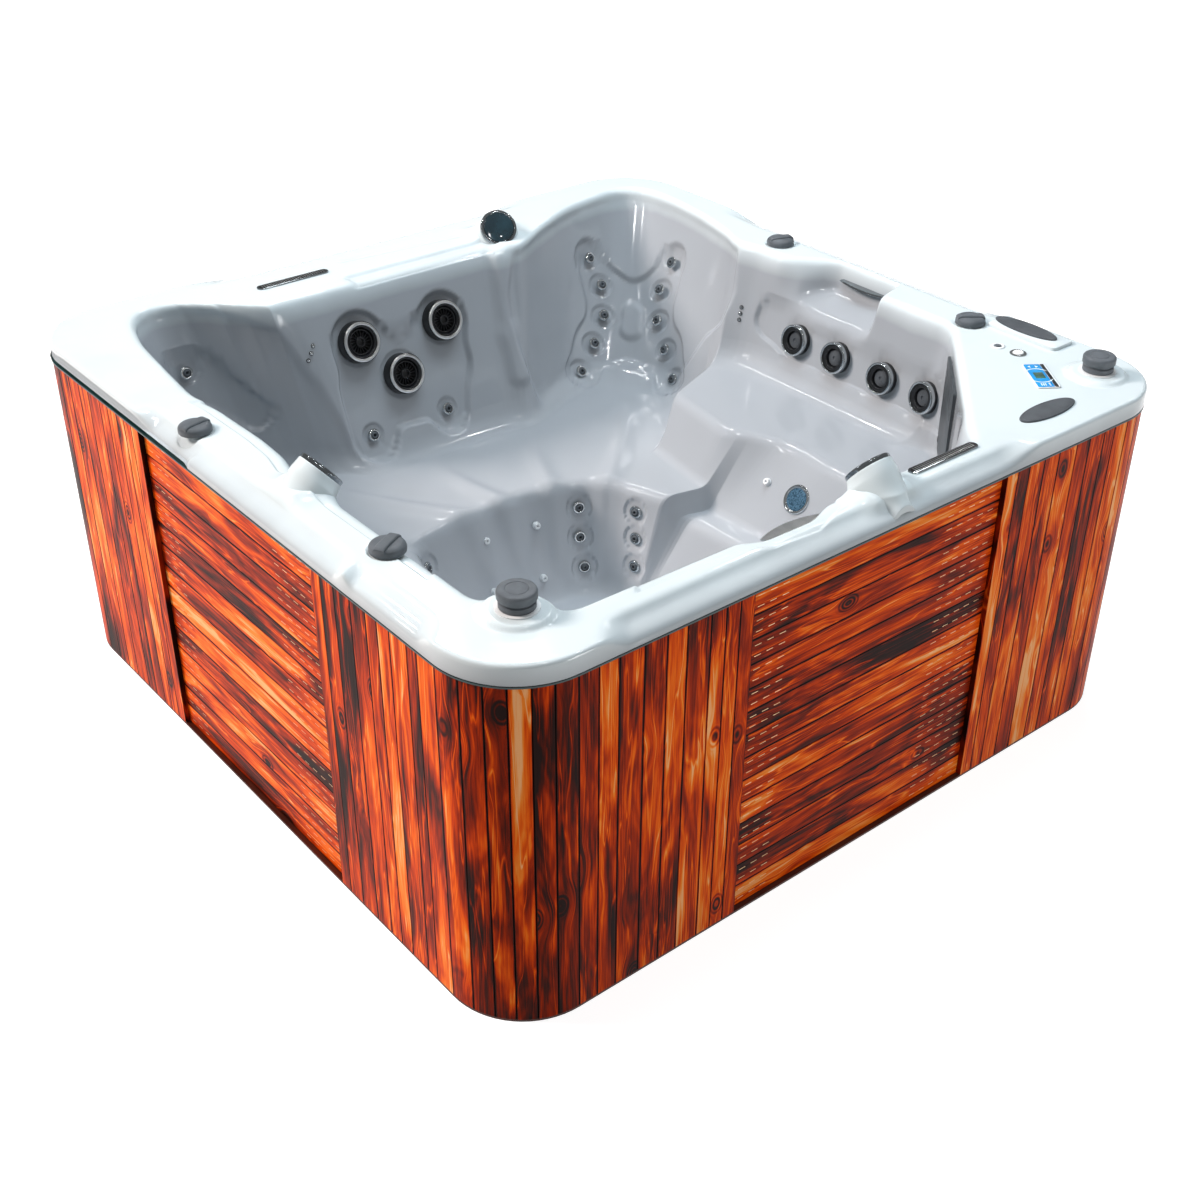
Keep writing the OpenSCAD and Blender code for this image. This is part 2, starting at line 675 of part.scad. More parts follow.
module lamp_bezels() {
    color("silver")
    union() {
        for (p = pods) at_pod(p) lamp_cup(pod_d - 2 * pod_wall - 1, pod_d - 4, 29);
        on_surface(1, lamp) translate([0, 0, -seat_depth]) lamp_cup(69.4, 84, 40);
    }
}

module lamp_lenses() {
    color("darkslategray")
    union() {
        for (p = pods) at_pod(p) translate([0, 0, -2]) cylinder(d = lens_d, h = 5);
        on_surface(1, lamp) translate([0, 0, -seat_depth - 2]) cylinder(d = 64.6, h = 5);
    }
}

module cascade_strips() {
    color("silver")
    for (p = strips) translate([p[0], p[1], rim_z - 2])
        difference() {
            union() {
                translate([-strip_l / 2, -strip_w / 2, 0]) cube([strip_l, strip_w, 7]);
                translate([-strip_l / 2 + 11, -7.5, -30]) cube([strip_l - 22, 15, 31]);
            }
            translate([-strip_l / 2 + 16, -4, -24]) cube([strip_l - 32, 8, 40]);
        }
}

module waterfall_lips() {
    color("silver")
    for (i = [0, 1]) at_lip(i) lip_blade(0);
}

module suction_covers() {
    color("gainsboro")
    for (p = suctions) on_surface(2, p)
        difference() {
            union() {
                translate([0, 0, -seat_depth]) cylinder(d = 104, h = seat_depth + 12);
                translate([0, 0, -60]) cylinder(d = 59.2, h = 60);
            }
            translate([0, 0, -70]) cylinder(d = 50, h = 74);
            for (i = [0:11]) rotate([0, 0, i * 30]) translate([17, 0, 0]) cylinder(d = 6, h = 30, $fn = 16);
        }
}

module diverter_knob(i) {
    color("dimgray")
    translate([diverters[i][0], diverters[i][1], rim_z + pedestal_h + 3.3])
    difference() {
        rotate_extrude($fn = 64)
            polygon([[0, 0], [diverter_d / 2 - 4, 0], [diverter_d / 2 - 3, 13], [diverter_d / 2 - 6, 15],
                [diverter_d / 2 - 6, 18], [diverter_d / 2, 20], [diverter_d / 2, diverter_h - 4],
                [diverter_d / 2 - 4, diverter_h], [0, diverter_h]]);
        translate([0, 0, -1]) cylinder(d = 20 + 2 * run_gap, h = 26);
    }
}

module diverter_valves() {
    color("lightgray")
    for (p = diverters) translate([p[0], p[1], rim_z + pedestal_h]) {
        cylinder(d = 92, h = 3);
        cylinder(d = 20, h = 24);
        translate([0, 0, -valve_h]) cylinder(d = 69.2, h = valve_h + 1);
        translate([-45, 0, pipe_d / 2 + 4 - valve_h]) along_x(pipe_d, 90);
    }
}

module air_knob(i) {
    color("dimgray")
    translate([air_controls[i][0], air_controls[i][1], rim_z - seat_depth + 3.3])
    difference() {
        union() {
            rotate_extrude($fn = 64)
                polygon([[0, 0], [air_d / 2, 0], [air_d / 2, air_h - 9], [air_d / 2 - 8, air_h - 2], [0, air_h - 2]]);
            intersection() {
                cylinder(d = air_d - 6, h = air_h + 2);
                translate([-air_d / 2, -14, 0]) cube([air_d, 28, air_h + 2]);
            }
        }
        translate([0, 0, -1]) cylinder(d = 14 + 2 * run_gap, h = 15);
    }
}

module air_valves() {
    color("lightgray")
    for (p = air_controls) translate([p[0], p[1], rim_z - seat_depth]) {
        cylinder(d = 64, h = 3);
        cylinder(d = 14, h = 13);
        translate([0, 0, -44]) cylinder(d = 40.2, h = 45);
    }
}

module control_panel() {
    color("steelblue")
    at_panel(rim_z - 1.5) {
        translate([-panel_l / 2, -panel_wide / 2, 0]) cube([panel_l, panel_wide, 5]);
        translate([0, 0, -24]) cylinder(d = 28, h = 25);
    }
}

module button_cap(i) {
    translate([buttons[i][0], buttons[i][1], rim_z])
    translate([0, 0, -16]) cylinder(d = button_sizes[i][2], h = 16 + 4 + button_travel);
}

module jets_button() {
    color("lightgray") button_cap(0);
}

module light_button() {
    color("white") button_cap(1);
}

module button_sockets() {
    color("silver")
    for (i = [0, 1]) translate([buttons[i][0], buttons[i][1], rim_z])
        difference() {
            union() {
                cylinder(d = button_sizes[i][0], h = 4);
                translate([0, 0, -34]) cylinder(d = button_sizes[i][1], h = 35);
            }
            translate([0, 0, -16 - button_travel - 1])
                cylinder(d = button_sizes[i][2] + 2 * run_gap, h = 40);
        }
}

function oval_top(i) = i == 0 ? rim_z + plate_h : rim_z;
module speaker(i) {
    color("dimgray")
    at_oval(i, oval_top(i)) {
        translate([0, 0, 0.3]) oval(oval_l, oval_w, 4);
        translate([0, 0, -speaker_rise - 10]) oval(oval_l - 12, oval_w - 12, speaker_rise + 11);
    }
}

module speaker_wells() {
    color("black")
    for (i = [0, 1]) at_oval(i, oval_top(i) - speaker_rise - 20)
        difference() {
            oval(oval_l, oval_w, speaker_rise + 20);
            translate([0, 0, 5]) oval(oval_l - 10, oval_w - 10, speaker_rise + 20);
        }
}

module skimmer_housing() {
    color("gainsboro")
    at_skimmer()
    difference() {
        union() {
            translate([11 - 6, -skim_w / 2 - 14, skim_z - 14]) cube([6, skim_w + 28, skim_h + 28]);
            translate([5, -skim_w / 2, skim_z]) cube([skim_depth + 6, skim_w, skim_h]);
        }
        translate([0, -skim_w / 2 + skim_wall, skim_z + skim_wall])
            cube([skim_depth + 7, skim_w - 2 * skim_wall, skim_h - 2 * skim_wall]);
        translate([100, 0, skim_z - 40]) cylinder(d = 50, h = 60);
    }
}

module skimmer_cover() {
    color("dimgray")
    at_skimmer()
    translate([5 - run_gap - cover_t, -skim_w / 2 - cover_side, skim_z - cover_low])
    cube([cover_t, skim_w + 2 * cover_side, skim_h + cover_low + cover_high]);
}

module filter_cartridge() {
    color("aliceblue")
    at_skimmer()
    translate([100, 0, skim_z + skim_wall + 0.3])
    difference() {
        cylinder(d = 140, h = skim_h - 2 * skim_wall - 24);
        translate([0, 0, -1]) cylinder(d = 46, h = skim_h - 50);
    }
}

// Equipment in the bay behind the service panel, all on the base pan
pump_at = [-470, 295 - hl, 118];
motor_d = 150;
motor_l = 250;
wet_d = 188;
wet_l = 84;
shaft_d = 16;
impeller_d = 118;
heater_at = [60, 250 - hl, 96];
heater_d = 60;
heater_l = 340;
box_size = [300, 110, 190];
blower_at = [620, 260 - hl];
blower_d = 168;
blower_h = 170;
fan_d = 130;
pipe_d = 48;
elbow_d = 76;
join_gap = 0.3;

module along_x(d, l) {
    rotate([0, 90, 0]) cylinder(d = d, h = l);
}

module pump_motor() {
    color("darkgray")
    translate(pump_at)
    difference() {
        union() {
            along_x(motor_d, motor_l);
            for (x = [30, motor_l - 70])
                translate([x, -60, pan_t - pump_at[2]]) cube([40, 120, pump_at[2] - pan_t]);
        }
        translate([motor_l - 90, 0, 0]) along_x(shaft_d + 2 * run_gap, 100);
    }
}

module pump_wet_end() {
    color("black")
    translate(pump_at + [motor_l, 0, 0])
    difference() {
        union() {
            along_x(wet_d, wet_l);
            translate([wet_l / 2, 0, 0]) cylinder(d = pipe_d + 12, h = wet_d / 2 + 24);
            translate([wet_l - 1, 0, 0]) along_x(pipe_d + 12, 26);
        }
        translate([12, 0, 0]) along_x(impeller_d + 16, wet_l - 24);
        translate([-1, 0, 0]) along_x(shaft_d + 6, 20);
        translate([wet_l / 2, 0, 0]) cylinder(d = pipe_d - 6, h = wet_d);
        translate([wet_l / 2, 0, 0]) along_x(pipe_d - 6, wet_l);
    }
}

module pump_impeller() {
    color("goldenrod")
    translate(pump_at + [motor_l, 0, 0]) {
        translate([-80, 0, 0]) along_x(shaft_d, 110);
        translate([18, 0, 0]) along_x(impeller_d, 8);
        for (i = [0:5]) rotate([i * 60, 0, 0])
            translate([25, -2, 10]) cube([16, 4, impeller_d / 2 - 14]);
    }
}

module heater_tube() {
    color("silver")
    translate(heater_at) {
        along_x(heater_d, heater_l);
        for (x = [0, heater_l - 34]) translate([x, 0, 0]) along_x(heater_d + 22, 34);
        for (x = [60, heater_l - 90])
            translate([x, -20, pan_t - heater_at[2]]) cube([30, 40, heater_at[2] - pan_t]);
    }
}

module control_box() {
    color("gray")
    translate([heater_at[0] + 20, heater_at[1] - box_size[1] / 2, heater_at[2] + 46]) {
        cube(box_size);
        for (x = [70, 200]) for (y = [0, box_size[1] - 14])
            translate([x, y, pan_t - heater_at[2] - 46]) cube([16, 14, heater_at[2] + 47 - pan_t]);
    }
}

module blower_housing() {
    color("dimgray")
    translate([blower_at[0], blower_at[1], pan_t])
    difference() {
        union() {
            cylinder(d = blower_d, h = blower_h);
            translate([0, 0, blower_h - 1]) cylinder(d = pipe_d, h = 31);
        }
        translate([0, 0, 10]) cylinder(d = fan_d + 14, h = blower_h - 20);
        translate([0, 0, blower_h - 20]) cylinder(d = pipe_d - 8, h = 60);
        translate([0, 0, -1]) cylinder(d = 40, h = 20);
    }
}

module blower_fan() {
    color("white")
    translate([blower_at[0], blower_at[1], pan_t + 10.4]) {
        cylinder(d = 44, h = 90);
        translate([0, 0, 90]) cylinder(d = fan_d, h = 5);
        for (i = [0:7]) rotate([0, 0, i * 45])
            translate([24, -1.5, 93]) cube([fan_d / 2 - 27, 3, 28]);
    }
}

function behind(kind, p, d) = surf(kind, p) - facing(kind, p) * d;

// Straight lengths of pipe, with an elbow at each turn
module pipe(route) {
    for (i = [1:len(route) - 1]) {
        v = route[i] - route[i - 1];
        translate(route[i - 1])
            rotate([0, acos(v[2] / norm(v)), atan2(v[1], v[0])]) cylinder(d = pipe_d, h = norm(v));
        if (i < len(route) - 1) translate(route[i]) sphere(d = elbow_d);
    }
}

module water_pipes() {
    inlet = pump_at + [motor_l + wet_l + 25 + join_gap, 0, 0];
    top = pump_at + [motor_l + wet_l / 2, 0, wet_d / 2 + 24 + join_gap];
    tee = [inlet[0] + 40, inlet[1] + 120, 190];
    second = behind(2, suctions[1], 110);
    side = [second[0], tee[1], second[2]];
    filter = [skim_at[0] + 100 * cos(skim_dir), skim_at[1] + 100 * sin(skim_dir), skim_z - join_gap];
    warm = heater_at + [heater_l + join_gap, 0, 0];
    fork = warm + [50, 0, 304];
    valve_z = rim_z + pedestal_h - valve_h - join_gap;
    color("white")
    union() {
        pipe([inlet, inlet + [40, 0, 0], tee, behind(2, suctions[0], 110),
            behind(2, suctions[0], 60 + join_gap)]);
        pipe([tee, side, second, behind(2, suctions[1], 60 + join_gap)]);
        pipe([filter, [filter[0], filter[1], floor_z + 120], side]);
        pipe([top, top + [0, 0, 70], [heater_at[0] - 40, heater_at[1], top[2] + 70],
            heater_at - [40, 0, 0], heater_at - [join_gap, 0, 0]]);
        pipe([warm, warm + [50, 0, 0], fork, [diverters[0][0], diverters[0][1], fork[2]],
            [diverters[0][0], diverters[0][1], valve_z]]);
        pipe([fork, [diverters[1][0], diverters[1][1], fork[2]],
            [diverters[1][0], diverters[1][1], valve_z]]);
    }
}

acrylic_shell();
rim_gasket();
base_pan();
frame_rails();
frame_studs();
shell_props();
corner_boards();
corner_battens();
side_panels();
service_panel();
large_jet_housings();
on_surface(0, large_jets[0]) jet_bezel(large_d);  // large_jet_bezel_1
on_surface(0, large_jets[1]) jet_bezel(large_d);  // large_jet_bezel_2
on_surface(0, large_jets[2]) jet_bezel(large_d);  // large_jet_bezel_3
on_surface(0, large_jets[0]) jet_rotor(large_d);  // large_jet_rotor_1
on_surface(0, large_jets[1]) jet_rotor(large_d);  // large_jet_rotor_2
on_surface(0, large_jets[2]) jet_rotor(large_d);  // large_jet_rotor_3
medium_jet_housings();
on_surface(0, medium_jets[0]) jet_bezel(medium_d);  // medium_jet_bezel_1
on_surface(0, medium_jets[1]) jet_bezel(medium_d);  // medium_jet_bezel_2
on_surface(0, medium_jets[2]) jet_bezel(medium_d);  // medium_jet_bezel_3
on_surface(0, medium_jets[3]) jet_bezel(medium_d);  // medium_jet_bezel_4
on_surface(0, medium_jets[0]) jet_rotor(medium_d);  // medium_jet_rotor_1
on_surface(0, medium_jets[1]) jet_rotor(medium_d);  // medium_jet_rotor_2
on_surface(0, medium_jets[2]) jet_rotor(medium_d);  // medium_jet_rotor_3
on_surface(0, medium_jets[3]) jet_rotor(medium_d);  // medium_jet_rotor_4
small_jets();
air_nozzles();
led_studs();
lamp_bezels();
lamp_lenses();
cascade_strips();
waterfall_lips();
suction_covers();
diverter_knob(0);  // diverter_knob_near
diverter_knob(1);  // diverter_knob_right
diverter_valves();
air_knob(0);  // air_knob_1
air_knob(1);  // air_knob_2
air_knob(2);  // air_knob_3
air_knob(3);  // air_knob_4
air_valves();
control_panel();
jets_button();
light_button();
button_sockets();
speaker(0);  // speaker_right
speaker(1);  // speaker_front
speaker_wells();
skimmer_housing();
skimmer_cover();
filter_cartridge();
pump_motor();
pump_wet_end();
pump_impeller();
heater_tube();
control_box();
blower_housing();
blower_fan();
water_pipes();
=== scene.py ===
# %% [markdown]
# # Dressing a hot tub
# The tub's solids, with their real sizes and joints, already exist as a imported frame.
# This lesson dresses that frame: it never moves or resizes it, and every piece made here
# rides on one of its bodies. We start by loading it and keeping its box for later.
# %% Load the frame
import math
import bpy
import numpy as np
from mathutils import Matrix, Vector


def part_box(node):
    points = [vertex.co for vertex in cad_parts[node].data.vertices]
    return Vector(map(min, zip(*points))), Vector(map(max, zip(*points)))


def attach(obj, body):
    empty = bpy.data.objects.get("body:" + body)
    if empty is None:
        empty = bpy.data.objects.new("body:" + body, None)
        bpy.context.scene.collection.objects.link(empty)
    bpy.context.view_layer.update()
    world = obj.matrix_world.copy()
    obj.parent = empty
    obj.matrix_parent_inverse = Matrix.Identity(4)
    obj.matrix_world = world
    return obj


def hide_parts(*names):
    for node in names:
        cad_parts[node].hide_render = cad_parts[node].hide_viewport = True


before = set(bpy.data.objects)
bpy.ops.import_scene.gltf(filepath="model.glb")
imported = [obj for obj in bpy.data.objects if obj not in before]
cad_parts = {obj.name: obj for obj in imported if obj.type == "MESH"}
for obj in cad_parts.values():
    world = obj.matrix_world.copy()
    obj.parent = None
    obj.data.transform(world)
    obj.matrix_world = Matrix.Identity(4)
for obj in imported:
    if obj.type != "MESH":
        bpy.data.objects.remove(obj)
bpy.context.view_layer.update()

MM = 0.001

# %% [markdown]
# ## The camera
# The picture was solved for its camera: a lens of 48 mm on a 36 mm sensor, a little above
# eye height, off the tub's near corner. Right, up and back are the camera's own axes.
# %% Place the camera
EYE = Vector((-2.394, -2.983, 2.637))
LOOK = Vector((0.53388, 0.64976, -0.54110)).normalized()
ROLL = 0.0072
level = LOOK.cross(Vector((0, 0, 1))).normalized()
upright = level.cross(LOOK)
right = level * math.cos(ROLL) + upright * math.sin(ROLL)
up = upright * math.cos(ROLL) - level * math.sin(ROLL)
camera = bpy.data.objects.new("camera", bpy.data.cameras.new("camera"))
bpy.context.scene.collection.objects.link(camera)
camera.data.lens = 48.23
camera.data.sensor_width = 36
camera.matrix_world = Matrix((right, up, -LOOK)).transposed().to_4x4()
camera.location = EYE
bpy.context.scene.camera = camera
bpy.context.scene.view_settings.view_transform = "Standard"
print("camera at", tuple(round(v, 2) for v in camera.location))

# %% [markdown]
# ## Helpers for finishes
# Every finish is a small tree of shader nodes. One function turns a hex colour, as a paint
# card would give it, to the linear values that shading needs. Another sets a node's options
# and fills or links its sockets, and add does that with a new node. They serve shader trees
# and geometry trees alike.
# %% Helpers for node trees
MATH, VECTOR_MATH, RANGE = "ShaderNodeMath", "ShaderNodeVectorMath", "ShaderNodeMapRange"
NOISE, RAMP = "ShaderNodeTexNoise", "ShaderNodeValToRGB"
SPLIT, JOIN = "ShaderNodeSeparateXYZ", "ShaderNodeCombineXYZ"


def colour(code):
    parts = [int(code[i:i + 2], 16) / 255 for i in (1, 3, 5)]
    return tuple(c / 12.92 if c < 0.04045 else ((c + 0.055) / 1.055) ** 2.4 for c in parts) + (1,)


# Values fill the sockets in their order. A name in small letters is an option of the node,
# any other name is a socket, and a node given as a value stands for its first output.
def settle(node, *values, **named):
    for key, value in named.items():
        if key.islower():
            setattr(node, key, value)
    sockets = [(key.replace("_", " "), value) for key, value in named.items() if not key.islower()]
    for key, value in [*enumerate(values), *sockets]:
        value = value.outputs[0] if isinstance(value, bpy.types.Node) else value
        if isinstance(value, bpy.types.NodeSocket):
            node.id_data.links.new(value, node.inputs[key])
        else:
            node.inputs[key].default_value = value
    return node


def add(tree, kind, *values, **named):
    return settle(tree.nodes.new(kind), *values, **named)


# Give a colour ramp its stops: where each lies, and its colour
def with_stops(node, stops):
    bar = node.color_ramp.elements
    while len(bar) < len(stops):
        bar.new(0.5)
    for stop, (where, code) in zip(bar, stops):
        stop.position = where
        stop.color = colour(code)
    return node


def blank_finish(name):
    mat = bpy.data.materials.new(name)
    mat.use_nodes = True
    tree = mat.node_tree
    return mat, tree, tree.nodes["Principled BSDF"]


# A plain finish: a colour that drifts a little, a grain of real size, and uneven gloss
def plain_finish(name, light, dark, rough, grain_mm, bump_mm=0.02, metal=0.0, coat=0.0, ior=1.5):
    mat, tree, skin = blank_finish(name)
    at = add(tree, "ShaderNodeTexCoord").outputs["Object"]
    drift = add(tree, NOISE, Vector=at, Scale=1 / (grain_mm * 40 * MM), Detail=3.0)
    grain = add(tree, NOISE, Vector=at, Scale=1 / (grain_mm * MM), Detail=4.0)
    tone = with_stops(add(tree, RAMP, drift), [(0.35, dark), (0.65, light)])
    gloss = add(tree, MATH, grain, 0.12, max(0.02, rough - 0.06), operation="MULTIPLY_ADD")
    bump = add(tree, "ShaderNodeBump", Height=grain, Distance=bump_mm * MM, Strength=0.6)
    settle(skin, Base_Color=tone, Roughness=gloss, Normal=bump, Metallic=metal, Coat_Weight=coat)
    if not metal:
        settle(skin, IOR=ior)
    return mat

# %% [markdown]
# ## Acrylic
# The shell is cast acrylic sheet, drawn over a mould by vacuum and backed with fibreglass.
# Its own colour is a cool white with a high gloss, as on the rim. Below the rim edge the colour
# is painted shade: a grey set by height that stands for the shadow in the bowl. The draw
# leaves very shallow waves that only show in its highlights.
# %% Acrylic finish
def acrylic_finish():
    mat, tree, skin = blank_finish("acrylic_with_painted_shade")
    at = add(tree, "ShaderNodeTexCoord").outputs["Object"]
    cloud = add(tree, NOISE, Vector=at, Scale=5.0, Detail=3.0)
    height = add(tree, SPLIT, at).outputs[2]
    height = add(tree, MATH, cloud, 0.03, height, operation="MULTIPLY_ADD")
    # Painted shade: below the rim edge the stops are greys set by height, darkest just under the rim, for the
    # shadow in the bowl; the top stop is the rim's own white
    stops = [(0.12, "#B8BEC4"), (0.5, "#9EA4AA"), (0.89, "#969CA2"), (0.95, "#CCD8DC")]
    tone = with_stops(add(tree, RAMP, height), stops)
    waves = add(tree, NOISE, Vector=at, Scale=16.0, Detail=1.0)
    bump = add(tree, "ShaderNodeBump", Height=waves, Distance=1.2 * MM, Strength=0.35)
    haze = add(tree, MATH, cloud, 0.08, 0.07, operation="MULTIPLY_ADD")
    settle(skin, Base_Color=tone, Normal=bump, Roughness=haze)
    settle(skin, IOR=1.49, Coat_Weight=0.2, Coat_Roughness=0.04)
    return mat


acrylic = acrylic_finish()

# %% [markdown]
# ## Lacquered cedar
# The boards are a knotty softwood under a red gloss lacquer: dark heart streaks, orange
# summer wood, pale sapwood on some boards, and knots that push the streaks aside. Each
# board carries its own coordinates (grain) along, across and through it, and a random
# number (tone), so no two boards match and the figure turns with the board.
# %% Cedar finish
# Each figure is noise drawn out along a board: along, across, detail, bend and roughness
FIGURES = {"heart": (2.2, 13.0, 3.0, 1.2, 0.55), "streak": (3.0, 50.0, 4.0, 0.5, 0.62),
           "fine": (6.0, 210.0, 3.0, 0.0, 0.6), "rings": (1.1, 12.0, 1.0, 0.5, 0.55),
           "vein": (1.4, 22.0, 2.0, 0.5, 0.55), "glow": (1.9, 2.5, 1.0, 0.0, 0.55)}
CEDAR_STOPS = [(0.0, "#1A0502"), (0.16, "#4A1002"), (0.36, "#962602"), (0.54, "#D44404"),
               (0.7, "#F2660C"), (0.86, "#F98E32"), (1.0, "#FCB87C")]


def cedar_finish(name):
    mat, tree, skin = blank_finish(name)
    grain = add(tree, "ShaderNodeAttribute", attribute_name="grain").outputs["Vector"]
    tone = add(tree, "ShaderNodeAttribute", attribute_name="tone").outputs["Fac"]
    shift = add(tree, VECTOR_MATH, (37.0, 11.0, 5.0), Scale=tone, operation="SCALE")
    at = add(tree, VECTOR_MATH, grain, shift)
    # Knots: about every second cell has one; round it the grain is pulled towards the middle
    cells = add(tree, VECTOR_MATH, at, (5.0, 8.0, 2.4), operation="MULTIPLY")
    cell = add(tree, "ShaderNodeTexVoronoi", Vector=cells, Scale=1.0)
    chosen = add(tree, SPLIT, cell.outputs["Color"])
    knotty = add(tree, MATH, chosen, 0.5, operation="GREATER_THAN")
    span = cell.outputs["Distance"]
    pull = add(tree, RANGE, span, 0.04, 0.46, 0.9, 0.0, interpolation_type="SMOOTHSTEP")
    pull = add(tree, MATH, pull, knotty, operation="MULTIPLY")
    away = add(tree, VECTOR_MATH, cells, cell.outputs["Position"], operation="SUBTRACT")
    inward = add(tree, VECTOR_MATH, away, (0.0, 0.125, 0.0375), operation="MULTIPLY")
    inward = add(tree, VECTOR_MATH, inward, Scale=pull, operation="SCALE")
    flow = add(tree, VECTOR_MATH, at, inward, operation="SUBTRACT")
    figure = {}
    for key, (along, across, detail, bend, rough) in FIGURES.items():
        place = add(tree, VECTOR_MATH, flow, (along, across, across * 0.3), operation="MULTIPLY")
        figure[key] = add(tree, NOISE, Vector=place, Scale=1.0, Detail=detail)
        settle(figure[key], Distortion=bend, Roughness=rough)
    rings = add(tree, MATH, figure["rings"], 120.0, operation="MULTIPLY")
    rings = add(tree, MATH, rings, operation="SINE")
    knot = add(tree, RANGE, span, 0.07, 0.23, 1.0, 0.0, interpolation_type="SMOOTHSTEP")
    knot = add(tree, MATH, knot, knotty, operation="MULTIPLY")
    eye = add(tree, MATH, span, 110.0, operation="MULTIPLY")
    eye = add(tree, MATH, eye, operation="SINE")
    eye = add(tree, MATH, eye, knot, operation="MULTIPLY")
    vein = add(tree, MATH, figure["vein"], 0.5, operation="SUBTRACT")
    vein = add(tree, MATH, vein, operation="ABSOLUTE")
    vein = add(tree, RANGE, vein, 0.0, 0.016, 1.0, 0.0)
    # Across a board the edge number runs from -0.5 to 0.5; both edges are darkened as painted shade, for the
    # gaps between boards
    edge = add(tree, "ShaderNodeAttribute", attribute_name="edge").outputs["Fac"]
    seam = add(tree, RANGE, add(tree, MATH, edge, operation="ABSOLUTE"), 0.455, 0.49)
    mix = 0.0
    for part, weight in ((figure["heart"], 1.6), (figure["streak"], 0.85), (figure["fine"], 0.5),
                         (rings, 0.04), (tone, 0.3), (knot, -0.4), (eye, 0.3), (seam, -0.5),
                         (vein, 0.3), (figure["glow"], 1.1)):
        mix = add(tree, MATH, part, weight, mix, operation="MULTIPLY_ADD")
    mix = add(tree, MATH, mix, 1.7, operation="SUBTRACT")
    relief = add(tree, MATH, figure["fine"], figure["streak"])
    bump = add(tree, "ShaderNodeBump", Height=relief, Distance=0.5 * MM, Strength=0.45)
    gloss = add(tree, MATH, figure["fine"], 0.2, 0.32, operation="MULTIPLY_ADD")
    settle(skin, Base_Color=with_stops(add(tree, RAMP, mix), CEDAR_STOPS), Normal=bump)
    settle(skin, Roughness=gloss, Specular_IOR_Level=0.06)
    return mat


cedar = cedar_finish("cedar_lacquered")

# %% [markdown]
# ## The small parts' finishes
# Jet rings and trims are ABS with a chromed or satin metal skin, rotors and knobs are
# moulded ABS and polypropylene, the gasket is rubber, and the lamps sit behind tinted
# polycarbonate. Grain sizes are in millimetres; under about 1 mm they only break up gloss.
# %% Small finishes
chrome = plain_finish("abs_chromed", "#D5D9DB", "#B9BFC2", 0.12, 1.5, 0.01, metal=1.0)
blade_chrome = plain_finish("abs_chromed_smoked", "#A3A9AD", "#878D91", 0.1, 1.5, 0.01, metal=1.0)
satin_metal = plain_finish("steel_satin", "#E6E8E8", "#D2D5D6", 0.3, 0.8, 0.01, metal=1.0)
black_abs = plain_finish("abs_black_moulded", "#1B1D20", "#0E0F11", 0.3, 0.8)
grey_abs = plain_finish("abs_charcoal_moulded", "#4E5358", "#42474C", 0.45, 0.9, 0.05)
knob_grey = plain_finish("polypropylene_grey", "#5B6167", "#4F555A", 0.5, 0.8, 0.05)
white_abs = plain_finish("abs_white_moulded", "#E6EAEC", "#DDE2E5", 0.22, 1.2, coat=0.2)
rubber = plain_finish("rubber_gasket", "#16393A", "#0B2224", 0.35, 1.0)
tint = plain_finish("polycarbonate_tinted", "#1F3A44", "#122229", 0.08, 2.0, coat=0.6, ior=1.58)
pale_tint = plain_finish("polycarbonate_blue", "#466A82", "#20384A", 0.15, 0.1, coat=0.4, ior=1.58)
cover_grey = plain_finish("abs_dark_grey_moulded", "#3C4246", "#31363A", 0.4, 0.9, 0.04)
staple_wire = plain_finish("steel_coppered", "#F0CBA0", "#DDB284", 0.4, 0.8, 0.01, metal=1.0)
sawn_pine = plain_finish("pine_sawn", "#B99461", "#94703F", 0.7, 2.5, 0.1)
# Dark pine for the corner battens: its near-black is painted shade, the shadow seen through the gaps between
# the corner boards
gap_shade_pine = plain_finish("pine_dark_gap_shade", "#3A1D12", "#29130B", 0.7, 2.5, 0.1)
pipe_pvc = plain_finish("pvc_pipe", "#DADDDD", "#C8CCCC", 0.35, 1.5)
motor_paint = plain_finish("aluminium_powder_coated", "#2B2F33", "#202327", 0.5, 0.9, 0.05)
heater_steel = plain_finish("steel_brushed", "#C6C9CA", "#A9ADAF", 0.3, 0.7, 0.02, metal=1.0)
box_abs = plain_finish("abs_grey_moulded", "#7A7E81", "#6C7073", 0.5, 1.0)
pan_abs = plain_finish("abs_pan_moulded", "#4A1B0C", "#351207", 0.6, 2.0, 0.1)
pleat_cloth = plain_finish("polyester_pleated", "#E2E7E8", "#CBD3D6", 0.85, 0.8, 0.1)
overlay_blue = plain_finish("polyester_overlay_blue", "#1E93D6", "#1380C2", 0.25, 1.0)
overlay_pale = plain_finish("polyester_overlay_pale", "#E4F0F6", "#CFE2EC", 0.25, 1.0)
display = plain_finish("display_glass_green", "#3E6B5C", "#27483E", 0.1, 1.0, coat=0.5)
print("finishes:", len(bpy.data.materials))

# %% [markdown]
# ## From arrays to pieces
# A piece is a mesh with its place in its points, an object at the origin, a finish, and a
# body to ride on. It also says which node it stands for; with no node named, that is the
# node of its body. Points are worked out in millimetres, as on the drawing, and turned to
# metres here. Faces meeting at more than 35 degrees keep a crisp edge.
# %% Helpers for pieces
def new_object(name, data):
    obj = bpy.data.objects.new(name, data)
    bpy.context.scene.collection.objects.link(obj)
    return obj


def dress(obj, finish, body, node=None):
    if finish is not None:
        obj.data.materials.clear()
        obj.data.materials.append(finish)
    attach(obj, body)
    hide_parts(node or body)
    return obj


def smooth(mesh, crease=35):
    mesh.polygons.foreach_set("use_smooth", [True] * len(mesh.polygons))
    mesh.set_sharp_from_angle(angle=math.radians(crease))


